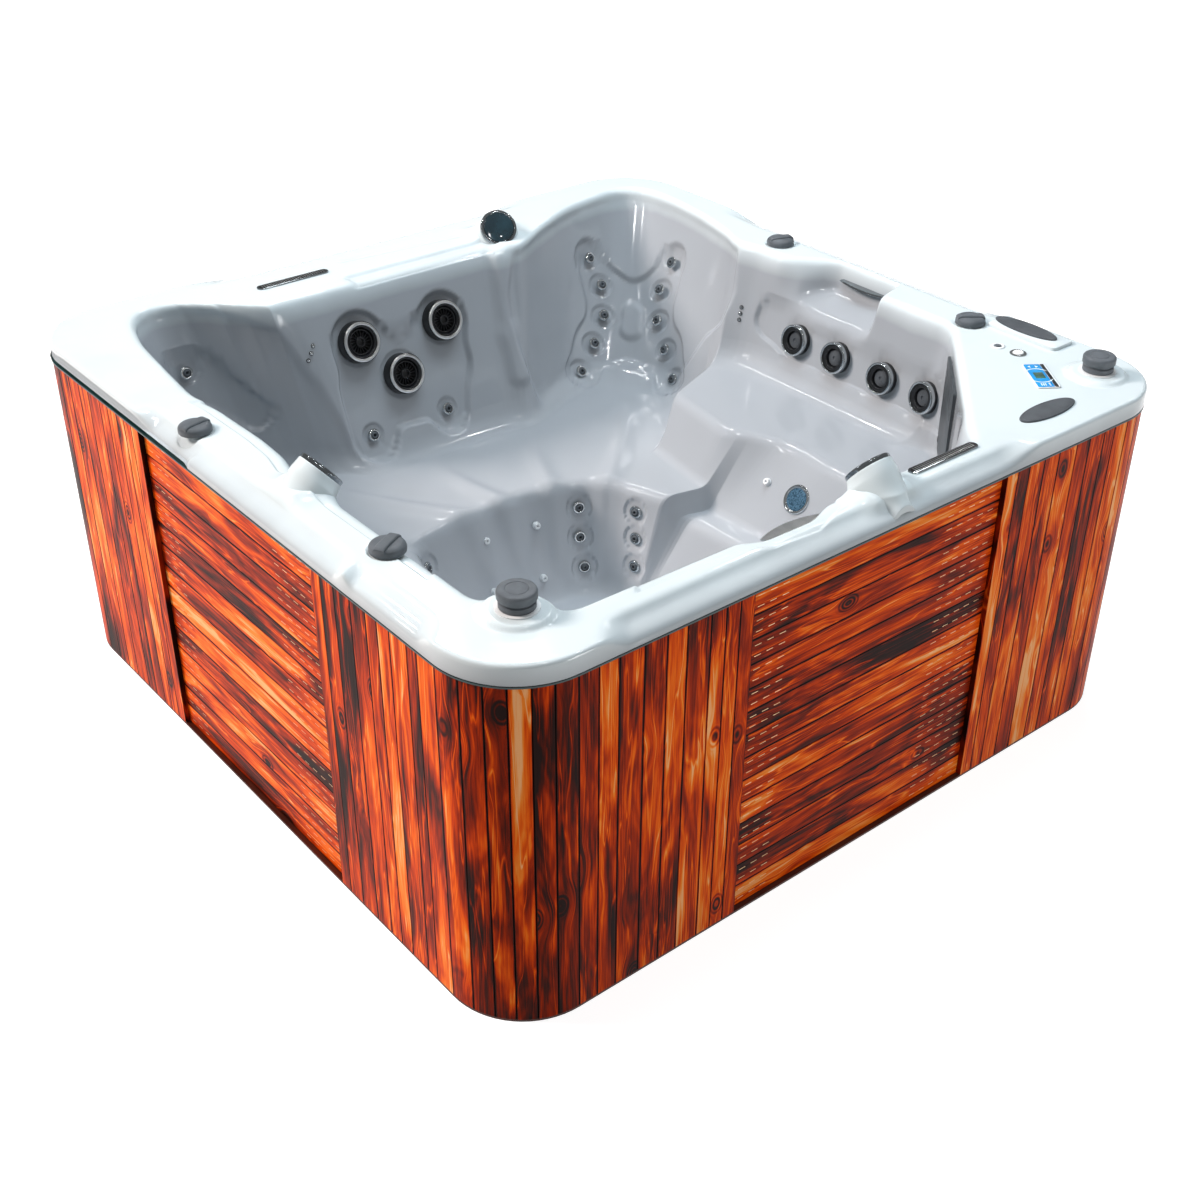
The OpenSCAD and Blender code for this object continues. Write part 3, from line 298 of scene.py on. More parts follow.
def piece(name, points_mm, faces, finish, body, slot, node=None, crease=35):
    mesh = bpy.data.meshes.new(name)
    points = np.asarray(points_mm, float).reshape(-1, 3) * MM
    mesh.from_pydata(points.tolist(), [], [list(map(int, f)) for f in faces])
    mesh.validate()
    smooth(mesh, crease)
    return dress(new_object(name, mesh), finish, body, node)


def grid_faces(rows, cols, round_rows=True, round_cols=False):
    i, j = np.meshgrid(np.arange(rows if round_rows else rows - 1),
                       np.arange(cols if round_cols else cols - 1), indexing="ij")
    a, b = (i + 1) % rows, (j + 1) % cols
    return np.stack([i * cols + j, a * cols + j, a * cols + b, i * cols + b], -1).reshape(-1, 4)

# %% [markdown]
# ## The shell's outlines
# The shell was formed over a mould, so it is one continuous skin. Its plan is a set of
# closed outlines, one for each edge that a hand would feel: the rim's inner edge, the foot
# of the backrests, the raised seat's front and its foot, the benches' front, the floor.
# A spoke that sweeps round the tub's middle meets each outline once, which turns the whole
# tub into a grid that is easy to shape: spokes round, stations down.
# %% Outlines and spokes
HALF, CORNER_R, RIM_Z, LIP_Z = 1060, 200, 936, 888
BENCH_Z, RAISED_Z, STEP_Z, FLOOR_Z = 450, 600, 385, 120
EDGE = [(875, -475), (875, 260), (855, 352), (895, 430), (940, 600), (962, 760), (955, 890),
        (890, 942), (805, 930), (660, 900), (505, 825), (350, 730), (250, 770), (-535, 770),
        (-560, 810), (-600, 890), (-660, 930), (-730, 960), (-790, 942), (-830, 875), (-862, 760),
        (-890, 526), (-903, 400), (-886, 300), (-880, 100), (-886, -10), (-905, -80), (-905, -795),
        (-840, -800), (-800, -840), (-795, -930), (400, -945), (455, -880)]
JUNCTION = [(808, -535), (800, -480), (800, 200), (770, 262), (690, 330), (690, 520), (620, 620),
            (520, 660), (420, 640), (300, 590), (242, 548), (190, 575), (80, 585), (-346, 588),
            (-400, 640), (-470, 720), (-640, 800), (-740, 740), (-780, 560), (-760, 300),
            (-755, 150), (-740, -600), (-660, -740), (-560, -785), (420, -785), (500, -827)]
KNEE = [(520, -640), (513, -415), (527, -315), (520, -217), (451, -68), (468, 55), (495, 203),
        (470, 400), (380, 480), (230, 480), (-300, 480), (-560, 560), (-640, 400), (-650, -500),
        (-540, -660), (350, -660), (440, -680)]
RISER = [(410, -560), (385, -400), (378, -306), (372, -215), (368, -90), (372, -37), (405, 167),
         (340, 320), (230, 370), (60, 380), (-300, 380), (-480, 420), (-560, 300), (-560, -450),
         (-450, -580), (300, -580), (370, -580)]
FRONT = [(310, -400), (300, -280), (297, -89), (241, -63), (212, 24), (184, 114), (131, 157),
         (48, 193), (-47, 210), (-256, 210), (-454, 172), (-480, 60), (-480, -360), (-400, -470),
         (-250, -500), (230, -500), (290, -460)]
FOOT = [(230, -360), (232, -280), (215, -150), (160, -50), (150, 20), (120, 70), (80, 100),
        (20, 120), (-60, 130), (-250, 125), (-380, 90), (-400, 20), (-400, -330), (-330, -400),
        (-200, -420), (170, -420), (215, -390)]
SPOKES = 1080


def reach(outline, degrees):
    a = np.radians(degrees)
    d, best = np.stack([np.cos(a), np.sin(a)], -1), np.zeros(np.shape(a))
    o = np.array(outline, float)
    for p, q in zip(o, np.roll(o, -1, axis=0)):
        e = q - p
        den = d[..., 0] * e[1] - d[..., 1] * e[0]
        den = np.where(abs(den) < 1e-9, 1e-9, den)
        t = (p[0] * e[1] - p[1] * e[0]) / den
        s = (p[0] * d[..., 1] - p[1] * d[..., 0]) / den
        best = np.where((s >= -1e-5) & (s <= 1.00001) & (t > 0), np.maximum(best, t), best)
    return best


def soft(outline, degrees, blur):
    return sum(k * reach(outline, degrees + m * blur)
               for k, m in ((0.15, -1), (0.2, -0.5), (0.3, 0), (0.2, 0.5), (0.15, 1)))


def rise(x, low, high):
    t = np.clip((x - low) / (high - low), 0, 1)
    return t * t * (3 - 2 * t)


def straight(x, low, high):
    return np.clip((x - low) / (high - low), 0, 1)


def outer(degrees, inset):
    a = np.radians(degrees)
    c, s = np.maximum(abs(np.cos(a)), 1e-9), np.maximum(abs(np.sin(a)), 1e-9)
    side, r = HALF - inset, CORNER_R - inset / 2
    flat, mid = np.minimum(side / c, side / s), side - r
    b = mid * (c + s)
    disc = b * b - 2 * mid * mid + r * r
    bent = b + np.sqrt(np.maximum(disc, 0))
    return np.where((flat * c > mid) & (flat * s > mid) & (disc > 0), bent, flat)


def seat_z(a):
    return BENCH_Z + (RAISED_Z - BENCH_Z) * straight(a, -66, -60) * (1 - straight(a, 21, 24))


def pad_z(a):
    return BENCH_Z + (STEP_Z - BENCH_Z) * straight(a, -66, -60) * (1 - straight(a, -16, -13))


# How deep the rim bows outwards behind the two waterfall blades
def cove(a, stop=12):
    far = rise(a, -14.5, -10.5) * (1 - rise(a, 0.5, stop))
    near = rise(a, 249, 254) * (1 - rise(a, 260, 266))
    return 106 * far + 32 * near


def rim_edge(a):
    return soft(EDGE, a, 1.6) + cove(a)


def wall_r(a, z):
    e, j, s = soft(EDGE, a, 1.6), soft(JUNCTION, a, 3), seat_z(a)
    return j + (e - j) * (z - s) / (RIM_Z - s)


def riser_r(a, z):
    k, l = soft(KNEE, a, 3), soft(RISER, a, 3)
    return l + (k - l) * (z - pad_z(a)) / (seat_z(a) - pad_z(a))


def calf_r(a, z):
    f, g = soft(FRONT, a, 3), soft(FOOT, a, 5)
    return g + (f - g) * (z - FLOOR_Z) / (pad_z(a) - FLOOR_Z)


WALLS = (wall_r, riser_r, calf_r)


def spot(kind, degrees, z):
    r, a = WALLS[kind](np.float64(degrees), z), math.radians(degrees)
    return Vector((r * math.cos(a), r * math.sin(a), z))


def facing(kind, degrees, z):
    across = spot(kind, degrees + 1, z) - spot(kind, degrees - 1, z)
    upward = spot(kind, degrees, z + 10) - spot(kind, degrees, z - 10)
    return -across.cross(upward).normalized()


around = np.arange(SPOKES) * 360 / SPOKES - 90
nearest, farthest = rim_edge(around).min(), rim_edge(around).max()
print("spokes:", SPOKES, "rim edge from", int(nearest), "to", int(farthest), "mm")

# %% [markdown]
# ## The rim's outer step
# Round the corners the rim stands up as a plain upright face. Along the middle of each
# side its outer strip lies lower: 15 mm at the strip's inner side and 28 mm at its outer
# edge. Here step says how far a spoke is into such a strip (0 to 1), and band says how wide
# the strip is there. The two hidden sides have a step of 0.7.
# %% Work out the stations
x_out = outer(around, 0) * np.cos(np.radians(around))
y_out = outer(around, 0) * np.sin(np.radians(around))
near = y_out < -HALF + 2
left = x_out < -HALF + 2
step = (rise(x_out, -820, -730) * (1 - rise(x_out, 400, 520))) * near
step = step + left * (rise(y_out, -540, -490) * (1 - rise(y_out, 330, 430))
                      + 0.7 * rise(y_out, -860, -800) * (1 - rise(y_out, -580, -535)))
hidden = ~near & ~left
step = step + 0.7 * hidden * (1 - rise(np.minimum(abs(x_out), abs(y_out)), 380, 620))
band = np.where(near, 58 - 10 * rise(x_out, -100, 400), 54)
wide = np.ones(SPOKES)
# Each corner of a spoke's section: how far out it lies, how high, and how far its bend reaches
corners = [
    (outer(around, 40), LIP_Z * wide, 0), (outer(around, 1), LIP_Z * wide, 4),
    (outer(around, 2 + 6 * step), RIM_Z - 28 * step, 12 + 12 * step),
    (outer(around, band - 12), RIM_Z - 15 * step, 12), (outer(around, band + 4), RIM_Z * wide, 14),
    (rim_edge(around), RIM_Z * wide, 24), (wall_r(around, RIM_Z - 150), (RIM_Z - 150) * wide, 40),
    (soft(JUNCTION, around, 3), seat_z(around),
     70 - 48 * straight(around, -64, -60) * (1 - straight(around, -32.6, -29.6))),
    (soft(KNEE, around, 3), seat_z(around), 30), (soft(RISER, around, 3), pad_z(around), 24),
    (soft(FRONT, around, 3), pad_z(around), 38), (soft(FOOT, around, 5), FLOOR_Z * wide, 60),
    (40 * wide, FLOOR_Z * wide, 0)]
# Steps round each bend, and along each run between two bends
bends = [0, 2, 8, 4, 4, 8, 3, 8, 6, 5, 7, 7, 0]
runs = [1, 4, 4, 1, 40, 14, 48, 12, 8, 6, 22, 6]


def stations():
    q = [np.stack(c[:2], -1) for c in corners]
    rows, marks = [q[0]], [0]
    for i in range(1, len(q) - 1):
        ends = []
        for other in (q[i - 1], q[i + 1]):
            way = other - q[i]
            long = np.maximum(np.linalg.norm(way, axis=-1), 1e-6)
            ends.append(q[i] + way * (np.minimum(corners[i][2], 0.45 * long) / long)[:, None])
        last = rows[-1]
        rows += [last + (ends[0] - last) * k / runs[i - 1] for k in range(1, runs[i - 1] + 1)]
        marks.append(len(rows))
        for k in range(1, bends[i] + 1):
            t = k / bends[i]
            rows.append(ends[0] * (1 - t) ** 2 + q[i] * 2 * t * (1 - t) + ends[1] * t * t)
    last = rows[-1]
    rows += [last + (q[-1] - last) * k / runs[-1] for k in range(1, runs[-1] + 1)]
    return np.stack(rows, 1), marks


flat, marks = stations()
# The waterfall coves keep their depth down past the blades and close in a bowl below them
low_down = np.clip((flat[..., 1] - RIM_Z + 150) / 150, 0, 1)
bowl = rise(flat[..., 1], RIM_Z - 138, RIM_Z - 72) - low_down
under_edge = (np.arange(flat.shape[1]) > marks[5]) & (flat[..., 1] > RIM_Z - 150)
flat[..., 0] += cove(around, 7)[:, None] * bowl * under_edge
a = np.radians(around)[:, None]
skin = np.stack([flat[..., 0] * np.cos(a), flat[..., 0] * np.sin(a), flat[..., 1]], -1)
print("stations down each spoke:", skin.shape[1])


def normals(grid):
    across = np.roll(grid, -1, 0) - np.roll(grid, 1, 0)
    down = np.gradient(grid, axis=1)
    n = np.cross(across, down)
    return n / np.maximum(np.linalg.norm(n, axis=-1, keepdims=True), 1e-9)


out = normals(skin)

# %% [markdown]
# ## Shapes pressed into the shell
# Behind the jets the mould is sunk a few millimetres in soft outlines: a butterfly round
# the three large jets, an hourglass in the far corner, a wavy band over the raised seat.
# Each outline is a union of capsules (a line with a radius) melted together, and the skin
# is moved along its own normal by how deep it lies inside. Round dishes, the knob rings
# and the fillets of the lamp pods are made in the same way.
# %% Sink and raise the skin
def capsule(points, a, b, radius):
    a, b = np.array(a, float), np.array(b, float)
    way = b - a
    t = np.clip(((points - a) @ way) / max(way @ way, 1e-9), 0, 1)
    return np.linalg.norm(points - (a + t[..., None] * way), axis=-1) - radius


def melt(d1, d2, k):
    h = np.maximum(k - abs(d1 - d2), 0) / k
    return np.minimum(d1, d2) - h * h * k / 4


def pressed(points, links, k=30):
    d = None
    for a, b, radius in links:
        c = capsule(points, a, b, radius)
        d = c if d is None else melt(d, c, k)
    return d


def sink(links, depth, width, k=30):
    global skin
    d = pressed(skin, links, k)
    skin = skin - out * (depth * rise(-d, -width / 2, width / 2))[..., None]


def wall_links(kind, chain, radius):
    places = [spot(kind, *p) for p in chain]
    return [(p, q, radius) for p, q in zip(places, places[1:])]


LARGE_JETS = [(109, 784), (87, 778), (101, 670)]
MEDIUM_JETS = [(3, 728), (-8, 728), (-19.5, 728), (-28.6, 728)]
LEFT_ROW = [(50, 778), (48, 699), (47.5, 620), (49, 553), (51.5, 488)]
RIGHT_ROW = [(37, 778), (38.5, 699), (38.2, 620), (35.8, 553), (32.8, 488)]
WALL_JETS = [(128, 754)] + LEFT_ROW + RIGHT_ROW + [(113.5, 535), (91, 541)]
CALF_JETS = [(56, 372), (55.5, 286), (51, 196), (6, 380), (2, 304), (-2, 222), (160, 368)]
butterfly = (wall_links(0, [LARGE_JETS[0], (111, 660), (113.5, 535)], 74)
             + wall_links(0, [LARGE_JETS[1], (88, 660), (91, 541)], 66)
             + wall_links(0, [LARGE_JETS[0], LARGE_JETS[2], LARGE_JETS[1]], 74)
             + wall_links(0, [(112, 600), (101, 600), (92, 600)], 60))
hourglass = (wall_links(0, LEFT_ROW[:2], 58) + wall_links(0, LEFT_ROW[1:4], 44)
             + wall_links(0, LEFT_ROW[3:], 56) + wall_links(0, RIGHT_ROW[:2], 58)
             + wall_links(0, RIGHT_ROW[1:4], 44) + wall_links(0, RIGHT_ROW[3:], 56)
             + wall_links(0, [LEFT_ROW[1], RIGHT_ROW[1]], 40)
             + wall_links(0, [LEFT_ROW[3], RIGHT_ROW[3]], 46))
wavy = wall_links(0, [(10.5, 752)] + MEDIUM_JETS + [(-33, 720)], 60)
keyhole = wall_links(0, [(128, 758), (127, 730)], 62) + wall_links(0, [(127, 730), (125, 620)], 48)
sink(butterfly, 17, 15, 45)
sink(hourglass, 11, 13, 50)
sink(wavy, 10, 14, 40)
sink(keyhole, 14, 12)
for kind, places in ((0, WALL_JETS), (2, CALF_JETS)):
    for place in places:
        here = spot(kind, *place)
        sink([(here, here, 37)], 5.5, 8)
for place in LARGE_JETS + MEDIUM_JETS:
    here = spot(0, *place)
    radius = 70 if place in LARGE_JETS else 55
    sink([(here, here, radius)], 3.0, 8)
# The seats in the two corners lie deeper than the backrests beside them, between soft steps.
# Each has two side lines of (height, angle) and a depth.
CORNER_SEATS = [
    (((930, 66), (800, 69.2), (740, 69.2), (640, 67.5), (450, 62)),
     ((930, 21.5), (790, 20.4), (700, 22.5), (640, 26), (450, 33)), 13),
    (((930, 172), (450, 172)), ((930, 125), (860, 122.4), (700, 120.2), (450, 118.5)), 9)]
turn = np.degrees(np.arctan2(skin[..., 1], skin[..., 0]))
wide_of = np.radians(np.hypot(skin[..., 0], skin[..., 1]))
for *side_lines, depth in CORNER_SEATS:
    limits = []
    for line in side_lines:
        heights, angles = zip(*reversed(line))
        limits.append(np.interp(skin[..., 2], heights, angles))
    inside = np.minimum(limits[0] - turn, turn - limits[1]) * wide_of
    fade = rise(skin[..., 2], 452, 500) * (1 - rise(skin[..., 2], 900, 932))
    skin = skin - out * (depth * rise(inside, -13, 13) * fade)[..., None]
# A soft pillar bulges out of the wall between the three large jets and the far corner
sink(wall_links(0, [(70.3, 900), (70.0, 700), (68.6, 580)], 26), -15, 44)
print("sunk outlines and", len(WALL_JETS) + len(CALF_JETS), "dishes")

# %% [markdown]
# ## Pods, pedestals and plates
# Three lamp pods grow out of the rim. Where the skin comes near a pod's tube it swells
# towards it, by a quarter of the blend's width at the seam, and the tube swells to meet it.
# The diverter knobs stand on soft round pedestals, and each air knob in a shallow dish.
# %% Shape the rim round its fittings
POD_R, POD_BLEND, POD_TILT = 56, 64, math.radians(40)
PODS = [((316, 805, 970), 250), ((-882, -180, 966), 0), ((50, -930, 974), 90)]
DIVERTERS = [(-866, -872), (920, -908)]
AIR_KNOBS = [(-991, 215), (-935, -520), (950, 250), (929, -494)]


def pod_axis(heading):
    h = math.radians(heading)
    return Vector((math.cos(POD_TILT) * math.cos(h), math.cos(POD_TILT) * math.sin(h), math.sin(POD_TILT)))


for centre, heading in PODS:
    axis = np.array(pod_axis(heading))
    away = skin - np.array(centre, float)
    along = away @ axis
    beside = np.linalg.norm(away - along[..., None] * axis, axis=-1) - POD_R
    gap = np.maximum(beside, 0) + np.maximum(along - 8, 0)
    swell = np.clip(POD_BLEND - gap, 0, POD_BLEND) ** 2 / (4 * POD_BLEND)
    behind = rise(-along, 2, 40) * (1 - rise(-along, 90, 125))
    skin = skin + out * (swell * behind)[..., None]


def plan_gap(centre):
    return np.hypot(skin[..., 0] - centre[0], skin[..., 1] - centre[1])


high = (skin[..., 2] > RIM_Z - 30) & (out[..., 2] > 0.5)
for centre in DIVERTERS:
    skin[..., 2] += 10 * rise(80 - plan_gap(centre), 0, 15) * high
for centre in AIR_KNOBS:
    skin[..., 2] -= 4 * rise(45 - plan_gap(centre), 0, 4) * high
x, y = skin[..., 0], skin[..., 1]
shelf = rise(x, -225, -195) * (1 - rise(x, 265, 300)) * (1 - rise(y, 818, 830)) * (y > 700)
skin[..., 2] -= 8 * shelf * high
line = capsule(skin[..., :2], (-161, 932), (269, 889), 2.5)
skin[..., 2] -= 2.5 * rise(-line, -4, 2) * high
# On the left and near sides a low ledge runs along the rim's inner edge
inset = np.hypot(x, y) - rim_edge(around)[:, None]
on_ledge = (left & (y_out > -760) & (y_out < 420)) | (near & (x_out > -700) & (x_out < -60))
skin[..., 2] -= 5 * (1 - rise(inset, 34, 41)) * rise(skin[..., 2], RIM_Z - 90, RIM_Z - 30) * on_ledge[:, None]

# %% [markdown]
# ## Soft ridges between the seats
# On the low benches a soft ridge parts one bather's place from the next. It starts at the
# backrest, fans out to the bench's front edge and runs on down the footwell's wall.
# %% Raise the ridges
RIDGES = [(139.2, 125.1), (119.2, 103.1), (78.4, 67.7), (33.6, 43.2)]
turn = np.degrees(np.arctan2(skin[..., 1], skin[..., 0]))
radius = np.hypot(skin[..., 0], skin[..., 1])
for fore, back in RIDGES:
    lip, heel = reach(FRONT, np.float64(fore)), reach(JUNCTION, np.float64(back))
    share = np.clip((radius - lip) / (heel - lip), 0, 1)
    apart = np.radians(turn - (fore + (back - fore) * share)) * radius
    fade = (1 - rise(share, 0.3, 0.9)) * rise(skin[..., 2], 150, 260) * (skin[..., 2] < 520)
    ridge, flanks = 12 * np.exp(-(apart / 34) ** 2), 5 * np.exp(-(apart / 100) ** 2)
    skin = skin + out * ((ridge - flanks) * fade)[..., None]

# %% [markdown]
# ## The niche's opening and the shell's pieces
# The filter niche is a rectangle cut in the wall behind the control deck. Grid points near
# its edge are moved onto it, and the faces inside are left out. The skin is made in three
# rings that share their normals, so no seam shows, and a coarser back closes it below.
# %% Build the shell
NICHE_AT, NICHE_TURN = (722, -619), math.radians(-46.5)
NICHE_SIDE, NICHE_LOW, NICHE_TOP = 103, 642, 868
c, s = math.cos(NICHE_TURN), math.sin(NICHE_TURN)
dx, dy = skin[..., 0] - NICHE_AT[0], skin[..., 1] - NICHE_AT[1]
deep, side = dx * c + dy * s, dy * c - dx * s
close = (abs(deep) < 60) & (out[..., 0] < 0)
in_height = (skin[..., 2] > NICHE_LOW - 8) & (skin[..., 2] < NICHE_TOP + 8)
for edge_at in (-NICHE_SIDE, NICHE_SIDE):
    shift = (edge_at - side) * (close & in_height & (abs(side - edge_at) < 3))
    skin = skin + shift[..., None] * np.array([-s, c, 0])
    side = side + shift
for edge_at in (NICHE_LOW, NICHE_TOP):
    near_edge = close & (abs(skin[..., 2] - edge_at) < 4.5) & (abs(side) < NICHE_SIDE + 8)
    skin[..., 2] = np.where(near_edge, edge_at, skin[..., 2])
in_niche = (close & (abs(side) < NICHE_SIDE + 0.1)
            & (skin[..., 2] > NICHE_LOW - 0.1) & (skin[..., 2] < NICHE_TOP + 0.1))
lit = normals(skin)


def ring_piece(name, first, last):
    part = skin[:, first:last + 1]
    cols = part.shape[1]
    faces = grid_faces(SPOKES, cols)
    hole = in_niche[:, first:last + 1].reshape(-1)
    faces = faces[~hole[faces].all(axis=1)].tolist()
    if last == skin.shape[1] - 1:
        faces.append([i * cols + cols - 1 for i in range(SPOKES)])
    obj = piece(name, part, faces, acrylic, "tub", "acrylic", "acrylic_shell", 180)
    obj.data.normals_split_custom_set_from_vertices(lit[:, first:last + 1].reshape(-1, 3).tolist())


seam_high, seam_low = marks[5] + 3, marks[7] + 4
ring_piece("shell_rim", 0, seam_high)
ring_piece("shell_backrests", seam_high, seam_low)
ring_piece("shell_seats", seam_low, skin.shape[1] - 1)
back = (skin - 15 * lit)[::2, ::2]
back[:, 0, 2] = LIP_Z
# The backing never comes nearer to the lip's outer face than its own thickness
back[..., :2] = np.clip(back[..., :2], 14 - HALF, HALF - 14)
rows, cols = back.shape[:2]
faces = grid_faces(rows, cols)[:, ::-1]
faces = faces[~in_niche[::2, ::2].reshape(-1)[faces].any(axis=1)].tolist()
faces.append([i * cols + cols - 1 for i in range(rows)][::-1])
fibreglass = plain_finish("glass_fibre_backing", "#8E9391", "#6F7573", 0.6, 3.0, 0.3)
piece("shell_back", back, faces, fibreglass, "tub", "acrylic", "acrylic_shell")
print("shell skin:", SPOKES, "spokes by", skin.shape[1], "stations")

# %% [markdown]
# ## Boards by rule
# The cabinet is a fence: boards side by side along a path. One node tree builds any run of
# them. It takes points that each carry a board's place along the path, its width and its
# tone, and puts a plain block at every point. Each block keeps its own grain directions and
# how far across the board a point lies, and then the whole run is bent along a curve. A
# corner uses upright boards and a path round the corner; a side panel uses level boards on a
# straight path.
# %% The fence tree
def new_tree(name, *inputs):
    tree = bpy.data.node_groups.new(name, "GeometryNodeTree")
    tree.interface.new_socket("Geometry", in_out="OUTPUT", socket_type="NodeSocketGeometry")
    for label, kind in (("Geometry", "Geometry"), *inputs):
        tree.interface.new_socket(label, in_out="INPUT", socket_type="NodeSocket" + kind)
    return tree, add(tree, "NodeGroupInput").outputs


STORED, STORE = "GeometryNodeInputNamedAttribute", "GeometryNodeStoreNamedAttribute"
POSITION, SWITCH = "GeometryNodeInputPosition", "GeometryNodeSwitch"
ON_POINTS, REALIZE = "GeometryNodeInstanceOnPoints", "GeometryNodeRealizeInstances"


def fence_tree(name, finish):
    tree, given = new_tree(name, ("Path", "Object"), ("Tall", "Float"), ("Thick", "Float"), ("Level", "Bool"))
    wide = add(tree, STORED, Name="wide", data_type="FLOAT")
    tone = add(tree, STORED, Name="tone", data_type="FLOAT")
    # A unit board: across in X, through in Y, along in Z
    block = add(tree, "GeometryNodeMeshCube", (1.0, 1.0, 1.0), 9, 2, 2)
    corner = add(tree, SPLIT, add(tree, POSITION)).outputs
    across = add(tree, SWITCH, given["Level"], corner[0], corner[2], input_type="FLOAT")
    block = add(tree, STORE, Geometry=block, Name="edge", Value=across, data_type="FLOAT", domain="POINT")
    size = add(tree, JOIN, wide, given["Thick"], given["Tall"])
    placed = add(tree, ON_POINTS, Points=given["Geometry"], Instance=block, Scale=size)
    tagged = add(tree, STORE, Geometry=placed, Name="tone", Value=tone, data_type="FLOAT", domain="INSTANCE")
    solid = add(tree, REALIZE, Geometry=tagged)
    x, y, z = add(tree, SPLIT, add(tree, POSITION)).outputs
    grain = add(tree, SWITCH, given["Level"], add(tree, JOIN, z, x, y), add(tree, JOIN, x, z, y),
                input_type="VECTOR")
    marked = add(tree, STORE, Geometry=solid, Name="grain", Value=grain, data_type="FLOAT_VECTOR",
                 domain="POINT")
    # Bend the run: X is the length along the path, Y stands off to its right
    route = add(tree, "GeometryNodeObjectInfo", given["Path"])
    sample = add(tree, "GeometryNodeSampleCurve", Curves=route.outputs["Geometry"], Length=x, mode="LENGTH")
    off = add(tree, VECTOR_MATH, sample.outputs["Tangent"], (0.0, 0.0, 1.0), operation="CROSS_PRODUCT")
    push = add(tree, VECTOR_MATH, off, Scale=y, operation="SCALE")
    bent = add(tree, VECTOR_MATH, sample.outputs["Position"], push)
    bent = add(tree, VECTOR_MATH, bent, add(tree, JOIN, Z=z))
    run = add(tree, "GeometryNodeSetPosition", Geometry=marked, Position=bent)
    done = add(tree, "GeometryNodeSetMaterial", Geometry=run, Material=finish)
    add(tree, "NodeGroupOutput", done)
    return tree


def path_curve(name, points):
    data = bpy.data.curves.new(name, "CURVE")
    data.dimensions = "3D"
    line = data.splines.new("POLY")
    line.points.add(len(points) - 1)
    for point, at in zip(line.points, points):
        point.co = (*at, 1)
    return new_object(name, data)


def points_mesh(name, points, **columns):
    mesh = bpy.data.meshes.new(name)
    mesh.from_pydata([tuple(p) for p in points], [], [])
    for key, values in columns.items():
        kind = "FLOAT_VECTOR" if len(np.shape(values)) == 2 else "FLOAT"
        layer = mesh.attributes.new(key, kind, "POINT")
        field = "vector" if kind == "FLOAT_VECTOR" else "value"
        layer.data.foreach_set(field, np.asarray(values, float).reshape(-1))
    return new_object(name, mesh)


# Run a node tree on an object of points, keep the plain mesh that it makes
def grow(name, points, tree, body, slot, node, **inputs):
    live = points.modifiers.new("grow", "NODES")
    live.node_group = tree
    names = {item.name: item.identifier for item in tree.interface.items_tree if item.in_out == "INPUT"}
    for label, value in inputs.items():
        live[names[label]] = value
    bpy.context.view_layer.update()
    shown = points.evaluated_get(bpy.context.evaluated_depsgraph_get())
    mesh = bpy.data.meshes.new_from_object(shown)
    mesh.name = name
    smooth(mesh)
    obj = new_object(name, mesh)
    bpy.data.objects.remove(points)
    return dress(obj, None, body, node)

# %% [markdown]
# ## The cabinet
# Corner boards stand upright: a flat trim strip, eight boards on the straight, six round
# the bend, eight more and another trim, all of mixed widths. Between them lie the side
# panels' level boards, set 13 mm further in. Tones come from a seeded generator, so the wood
# never changes.
# %% Grow the boards
PANEL_HALF, TRIM, INSET = 400, 40, 4
BOARD_T, BOARD_GAP = 16, 2
low, high_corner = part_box("corner_boards")
CAB_LOW, CAB_TOP = low[2], high_corner[2]
rng = np.random.default_rng(7)


def corner_path(sx, sy):
    face = HALF - INSET - BOARD_T / 2
    mid, r = HALF - CORNER_R, CORNER_R - INSET - BOARD_T / 2
    turns = np.radians(np.linspace(0, 90, 33))
    points = [(face, PANEL_HALF)] + [(mid + r * math.cos(t), mid + r * math.sin(t)) for t in turns]
    points.append((PANEL_HALF, face))
    points = [(sx * x * MM, sy * y * MM, 0.0) for x, y in points]
    return points if sx * sy > 0 else points[::-1]


# Share a length out among boards of mixed widths
def split(length, count):
    share = 0.7 + 0.6 * rng.random(count)
    return list(length * share / share.sum())


def corner_run():
    run, arc = HALF - CORNER_R - PANEL_HALF, (CORNER_R - INSET - BOARD_T / 2) * math.pi / 2
    widths = [TRIM] + split(run - TRIM, 8) + split(arc, 6) + split(run - TRIM, 8) + [TRIM]
    starts = np.concatenate([[0], np.cumsum(widths)])
    return [((s + w / 2) * MM, (w - BOARD_GAP) * MM) for s, w in zip(starts, widths)]


cedar_fence = fence_tree("fence_cedar", cedar)
for k, (sx, sy) in enumerate(((-1, -1), (1, -1), (1, 1), (-1, 1)), 1):
    run = corner_run()
    tall = float(CAB_TOP - CAB_LOW)
    spots = points_mesh("corner_points", [(x, 0, CAB_LOW + tall / 2) for x, _ in run],
                        wide=[w for _, w in run], tone=rng.random(len(run)))
    route = path_curve("corner_path", corner_path(sx, sy))
    grow(f"corner_fence_{k}", spots, cedar_fence, "tub", "corner_timber", "corner_boards",
         Path=route, Tall=tall, Thick=BOARD_T * MM)
    bpy.data.objects.remove(route)
print("boards to a corner:", len(run))

# %% [markdown]
# ## The side panels
# Fourteen level boards to a panel, on two upright battens. Three panels are fixed. The fourth,
# on the service side, is a piece of its own on its own body, because it lifts off.
# %% Grow the side panels
PANEL_STEP, ROWS, RAIL_IN = 13, 14, 40.2
PAN_T, BATTEN_W, BATTEN_IN = 6, 40, 90
